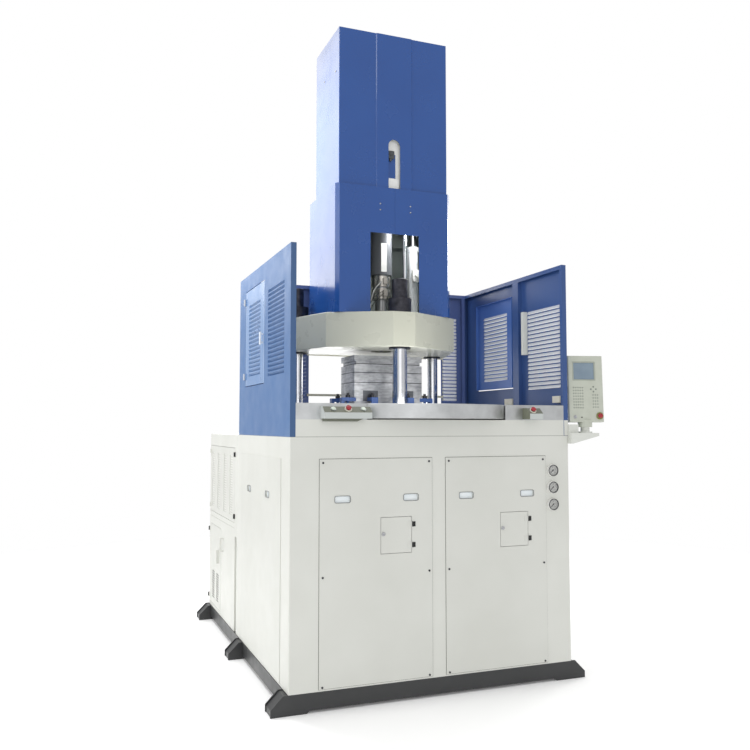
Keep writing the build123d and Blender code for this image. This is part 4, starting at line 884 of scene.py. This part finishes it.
def panel_keys():
    """The operator panel's blocks of keys."""
    tree = key_tree()
    for name, place, columns, rows, across, up, radius in KEY_BLOCKS:
        values = {
            "Columns": columns,
            "Rows": rows,
            "Pitch Across": across,
            "Pitch Up": up,
            "Key Radius": radius,
            "Key Height": 0.0009,
            "Finish": key_grey,
        }
        middle = points_mesh(name, [(0, 0, 0)])
        made = grown(name, tree, middle, values, "operator_panel")
        made.data.transform(on_face(*place, 0.3))


def panel_controls():
    """The operator panel's emergency stop with its collar, and its lamp."""
    place = on_face(*STOP_SPOT)
    shape = bmesh.new()
    frame_ring(shape, place, disc_outline(0.0195, 40), disc_outline(0.0136, 40), 0.0002, 0.0042)
    panel_piece("hmi_stop_collar", shape, stop_ring_olive)
    shape = bmesh.new()
    slab(shape, on_face(*LAMP_SPOT), disc_outline(0.0035, 20), 0.0, 0.003, 0.001)
    panel_piece("panel_lamp", shape, needle_paint)
    stop_button("hmi_estop", place)


panel_screen()
panel_keys()
panel_controls()

# Consoles: olive plates on the slopes, rings round the buttons and stops
SLOPE_TOP, SLOPE_FRONT = Vector((0, -38, 1414)), Vector((0, -72, 1384))
SLOPE_NORMAL = Vector((0, -30, 34)).normalized()
SLOPE_MIDDLE = (SLOPE_TOP + SLOPE_FRONT) / 2
BUTTONS = {"push_button_one": -571, "push_button_two": -421}
STOPS = {"estop_left": -497, "estop_right": 514}
# The slope plates' thickness and depth, and their holes' radii, in metres
PLATE_THICKNESS = 0.0006
PLATE_DEPTH = 0.042
BUTTON_HOLE = 0.0114
STOP_HOLE = 0.0134
console_olive = powder_coat("console_olive_paint", "74776A", "686B5A", 0.4)
ring_cream = moulded_plastic("stop_collar_cream", "E7E4D6", "DAD7C8", 0.34)
ring_steel = machined_steel("button_ring_steel", "C4C6C8", "A2A4A8", 0.25)


def on_slope(x):
    """A placement on the consoles' slope."""
    return facing(spot(x, SLOPE_MIDDLE.y, SLOPE_MIDDLE.z), SLOPE_NORMAL, (1, 0, 0))


def pierced_plate(shape, low, high, holes):
    """A thin plate along the slope, left open round each button so that it can be pressed."""
    half = PLATE_DEPTH / 2
    rays = [(x * half, y * half, max(abs(x), abs(y))) for x, y in disc_outline(1.0)]
    square = [(x / reach, y / reach) for x, y, reach in rays]
    edge = low
    for x, radius in holes:
        frame_ring(shape, on_slope(x), square, disc_outline(radius), 0.0, PLATE_THICKNESS)
        plain_strip(shape, edge, x - half / MM)
        edge = x + half / MM
    plain_strip(shape, edge, high)


def plain_strip(shape, low, high):
    """The part of a slope plate between two places."""
    strip = rounded_outline((high - low) * MM, PLATE_DEPTH, 0.0005)
    slab(shape, on_slope((low + high) / 2), strip, 0.0, PLATE_THICKNESS)


def slope_plates():
    """The plates on the slopes of both consoles."""
    first, second = BUTTONS.values()
    left, right = STOPS.values()
    shape = bmesh.new()
    holes = ((first, BUTTON_HOLE), (left, STOP_HOLE), (second, BUTTON_HOLE))
    pierced_plate(shape, -619, -380, holes)
    pierced_plate(shape, 486, 566, ((right, STOP_HOLE),))
    solid("console_tops", shape, console_olive, "base")


def console_rings():
    """The rings round the buttons and the emergency stops."""
    outer, inner = disc_outline(0.0138), disc_outline(0.0116)
    shape = bmesh.new()
    for x in BUTTONS.values():
        frame_ring(shape, on_slope(x), outer, inner, 0.0007, 0.0036)
    solid("button_rings", shape, ring_steel, "base")
    outer, inner = disc_outline(0.0175, 40), disc_outline(0.0136, 40)
    shape = bmesh.new()
    for x in STOPS.values():
        frame_ring(shape, on_slope(x), outer, inner, 0.0007, 0.005)
    solid("stop_collars", shape, ring_cream, "base")


slope_plates()
console_rings()
for node, x in BUTTONS.items():
    button_head(node, on_slope(x), PUSH_PROFILE, button_white)
for node, x in STOPS.items():
    stop_button(node, on_slope(x))

# Tower: cover screws, the bare white plate on the barrel shroud, wires and a flexible conduit
plate_white = powder_coat("white_enamelled_plate", "F1F1EE", "E8E8E4", 0.3)
conduit_steel = machined_steel("flexible_conduit_steel", "D5D5D3", "B2B2B0", 0.3)
# Wires and conduit at the barrel: name, finish, radius and the places that they pass
RUNS = (
    (
        "heater_conduit",
        conduit_steel,
        4.5,
        ((-30, 690, 2165), (-70, 694, 2120), (-92, 700, 2050), (-100, 704, 1957)),
    ),
    (
        "heater_wire_one",
        needle_paint,
        1.8,
        ((-18, 688, 2110), (-60, 684, 2085), (-96, 690, 2040), (-124, 700, 1957)),
    ),
    (
        "heater_wire_two",
        needle_paint,
        1.8,
        ((-16, 690, 2098), (-56, 676, 2062), (-90, 684, 2020), (-112, 690, 1957)),
    ),
)


def flexible_run(name, finish, radius, points):
    """A bent wire or conduit through places given in millimetres."""
    curve = bpy.data.curves.new(name, "CURVE")
    curve.dimensions = "3D"
    curve.bevel_depth = radius * MM
    curve.bevel_resolution = 3
    curve.resolution_u = 8
    spline = curve.splines.new("BEZIER")
    spline.bezier_points.add(len(points) - 1)
    for bend, place in zip(spline.bezier_points, points):
        bend.co = spot(*place)
        bend.handle_left_type = "AUTO"
        bend.handle_right_type = "AUTO"
    piece(name, plain_mesh(in_scene(name, curve)), finish, "platen")


def cover_screws():
    """Screws of the tower's covers."""
    rows = [spot(x, 558.8, z) for x in (-90, 97) for z in (2552, 2587)]
    screws("cover_screws", rows, 0.0048, TO_FRONT, "platen")
    rows = [spot(-337.2, 631, 3350), spot(-337.2, 841, 3372)]
    screws("side_screws", rows, 0.006, TO_LEFT, "carriage")


def window_parts():
    """What is fixed to the barrel and to the lifting cylinder, seen in the tower's window."""
    shape = bmesh.new()
    plate = rounded_outline(0.035, 0.17, 0.003)
    slab(shape, to_front(-8, 710.6, 2312), plate, 0.0, 0.0015, 0.0004)
    solid("shroud_plate", shape, plate_white, "carriage")
    for run in RUNS:
        flexible_run(*run)
    shape = bmesh.new()
    place = to_front(218, 756, 2225)
    slab(shape, place, rounded_outline(0.046, 0.074, 0.008), -0.012, 0.012, 0.002)
    slab(shape, place, disc_outline(0.013, 24), 0.012, 0.03, 0.002)
    solid("cylinder_fitting", shape, plate_white, "platen")


def slot_parts():
    """What shows in the upper cover's slot: a white back, a blue plate and a switch."""
    shape = bmesh.new()
    slab(shape, to_front(0, 590, 2780), rounded_outline(0.094, 0.42, 0.002), 0.0, 0.002)
    box = rounded_outline(0.078, 0.07, 0.002)
    slab(shape, to_front(-4, 590, 2713), box, 0.002, 0.01, 0.001)
    solid("slot_lining", shape, plate_white, "carriage")
    shape = bmesh.new()
    slab(shape, to_front(-14, 587, 2819), rounded_outline(0.054, 0.14, 0.002), 0.0, 0.003)
    solid("slot_plate", shape, lower_enamel, "carriage")
    shape = bmesh.new()
    case = rounded_outline(0.036, 0.046, 0.004)
    slab(shape, to_front(-14, 583, 2885), case, 0.0, 0.008, 0.001)
    slab(shape, to_front(-18, 583, 2890), disc_outline(0.009, 20), 0.008, 0.014, 0.001)
    slab(shape, to_front(-20, 583, 2854), disc_outline(0.008, 20), 0.0, 0.012, 0.001)
    solid("slot_switch", shape, motor_coat, "carriage")


cover_screws()
window_parts()
slot_parts()

# Small parts on the bed, the right guard and the table
stop_cream = moulded_plastic("stop_block_plastic", "DCD9CC", "D2CEBF", 0.4)


def brick(shape, low, high, bevel=0.0008):
    """Add a block between two places on the machine, in millimetres."""
    width, depth, height = (high[axis] - low[axis] for axis in range(3))
    place = upright(low[0] + width / 2, low[1] + depth / 2, low[2])
    outline = rounded_outline(width * MM, depth * MM, 0.001, 2)
    slab(shape, place, outline, 0.0, height * MM, bevel)


def bed_parts():
    """A painted shadow under the left console, stop blocks inside the right guard and the band's
    corner.
    """
    shape = bmesh.new()
    # Painted shadow: a dark olive sheet on the bed's front under the left console, standing for
    # the shadow it casts
    shadow_outline = ((-0.098, -0.0063), (0.074, -0.0063), (0.106, 0.0063), (-0.101, 0.0063))
    place = facing(spot(-510, -3, 1349.3), (0, -1, 0), (1, 0, 0))
    slab(shape, place, shadow_outline, 0.0, 0.01, 0.0004)
    solid("console_shadow", shape, console_olive, "base")
    shape = bmesh.new()
    for low, high in ((30, 96), (520, 606)):
        brick(shape, (732.5, low, 1447), (762.4, high, 1483))
    solid("guard_stops", shape, stop_cream, "base")
    shape = bmesh.new()
    brick(shape, (741, -1.2, 1271), (765, 0.2, 1352), 0.0)
    solid("band_corner", shape, cabinet_coat, "base")


def front_clamps():
    """Two clamps before the mould: a bridge on its foot, with a nut on a stud."""
    nut, stud = disc_outline(0.014, 6), disc_outline(0.008, 20)
    shape = bmesh.new()
    for x in (-FRONT_CLAMP_X, FRONT_CLAMP_X):
        brick(shape, (x - 20, 590, 1462), (x + 20, 661.9, 1483))
        brick(shape, (x - 20, 590, 1430), (x + 20, 606, 1462.5))
        slab(shape, upright(x, 634, 1483), nut, 0.0, 0.014, 0.001)
        slab(shape, upright(x, 634, 1483), stud, 0.0, 0.027, 0.001)
        slab(shape, upright(x, 634, 1430), stud, 0.0, 0.033)
    solid("front_clamps", shape, clamp_enamel, "table")


bed_parts()
front_clamps()

# Stage: pale floor, soft lights and the camera at the photograph's place
# Lights: name, place, what it points at, side in metres and power in watts
LIGHTS = (
    ("key_light", (-6.5, -0.9, 3.0), (0, 0, 1.6), 3.5, 98),
    ("front_fill", (-1.4, -6.5, 2.6), (0, 0, 1.8), 4.0, 34),
    ("top_light", (0.0, -0.5, 6.5), (0, 0, 1.8), 4.5, 50),
    ("rear_left_panel", (-2.0, 4.8, 4.55), (-0.4, 0.0, 3.3), 3.4, 64),
    ("rear_right_panel", (5.0, 1.5, 3.0), (0.3, 0.0, 2.3), 2.4, 50),
    ("inner_glow", (0.0, 3.2, 1.9), (0, 0, 1.8), 2.0, 40),
    ("bevel_left", (-4.4, -2.1, 5.6), (-0.2, -0.4, 3.4), 0.9, 10),
    ("chamfer_right", (4.9, 1.8, 3.35), (0.28, -0.42, 2.3), 1.0, 30),
    ("platen_fill", (-1.15, 0.1, 3.2), (-0.6, -0.3, 1.85), 0.6, 20),
    ("window_fill", (0.1, -0.35, 2.48), (-0.07, -0.26, 2.08), 0.1, 2.0),
    ("underside_fill", (-0.07, -0.72, 1.45), (-0.07, -0.6, 2.5), 0.6, 3.5),
)
CAMERA_PLACE = (-1764.8, -3671.0, 1319.4)
CAMERA_YAW, CAMERA_PITCH = 21.2107, 3.6244


def pale_floor():
    """A round matt floor, nearly white, with a little glow of its own."""
    bpy.ops.mesh.primitive_circle_add(vertices=96, radius=5.2, fill_type="NGON")
    floor = bpy.context.object
    floor.name = "floor"
    floor.location.z = -0.0005
    glow = {"Emission_Color": (1, 1, 1, 1), "Emission_Strength": 0.1}
    material, tree, shader, place = begin("pale_floor", IOR=1.3, Roughness=0.8, **glow)
    base = mottled(tree, place, 0.8, 2.0, 1, ("FFFFFF", "FCFCFC"))
    tree.links.new(base, shader.inputs["Base Color"])
    floor.data.materials.append(material)


def white_world():
    """A white surround, a little dimmer as a light than the camera sees it."""
    world = bpy.data.worlds.new("studio")
    bpy.context.scene.world = world
    world.use_nodes = True
    tree = world.node_tree
    background = tree.nodes["Background"]
    seen = add_node(tree, "ShaderNodeLightPath").outputs["Is Camera Ray"]
    inputs = {"Value": seen, "To Min": 0.74, "To Max": 1.0}
    strength = add_node(tree, "ShaderNodeMapRange", inputs=inputs)
    background.inputs["Color"].default_value = (1, 1, 1, 1)
    tree.links.new(strength.outputs[0], background.inputs["Strength"])


def add_lights():
    """The square area lights."""
    for name, place, target, size, power in LIGHTS:
        light = bpy.data.lights.new(name, "AREA")
        light.size = size
        light.energy = power
        lamp = in_scene(name, light)
        lamp.location = place
        aim = Vector(target) - Vector(place)
        lamp.rotation_euler = aim.to_track_quat("-Z", "Y").to_euler()
        lamp.visible_camera = False


def add_camera():
    """The camera where the photograph was taken from."""
    data = bpy.data.cameras.new("camera")
    data.lens = 38.909
    data.sensor_width = 36
    camera = in_scene("camera", data)
    camera.location = spot(*CAMERA_PLACE)
    camera.rotation_euler = (radians(90 + CAMERA_PITCH), 0, radians(-CAMERA_YAW))
    bpy.context.scene.camera = camera


pale_floor()
white_world()
add_lights()
bpy.context.scene.view_settings.view_transform = "Standard"
add_camera()
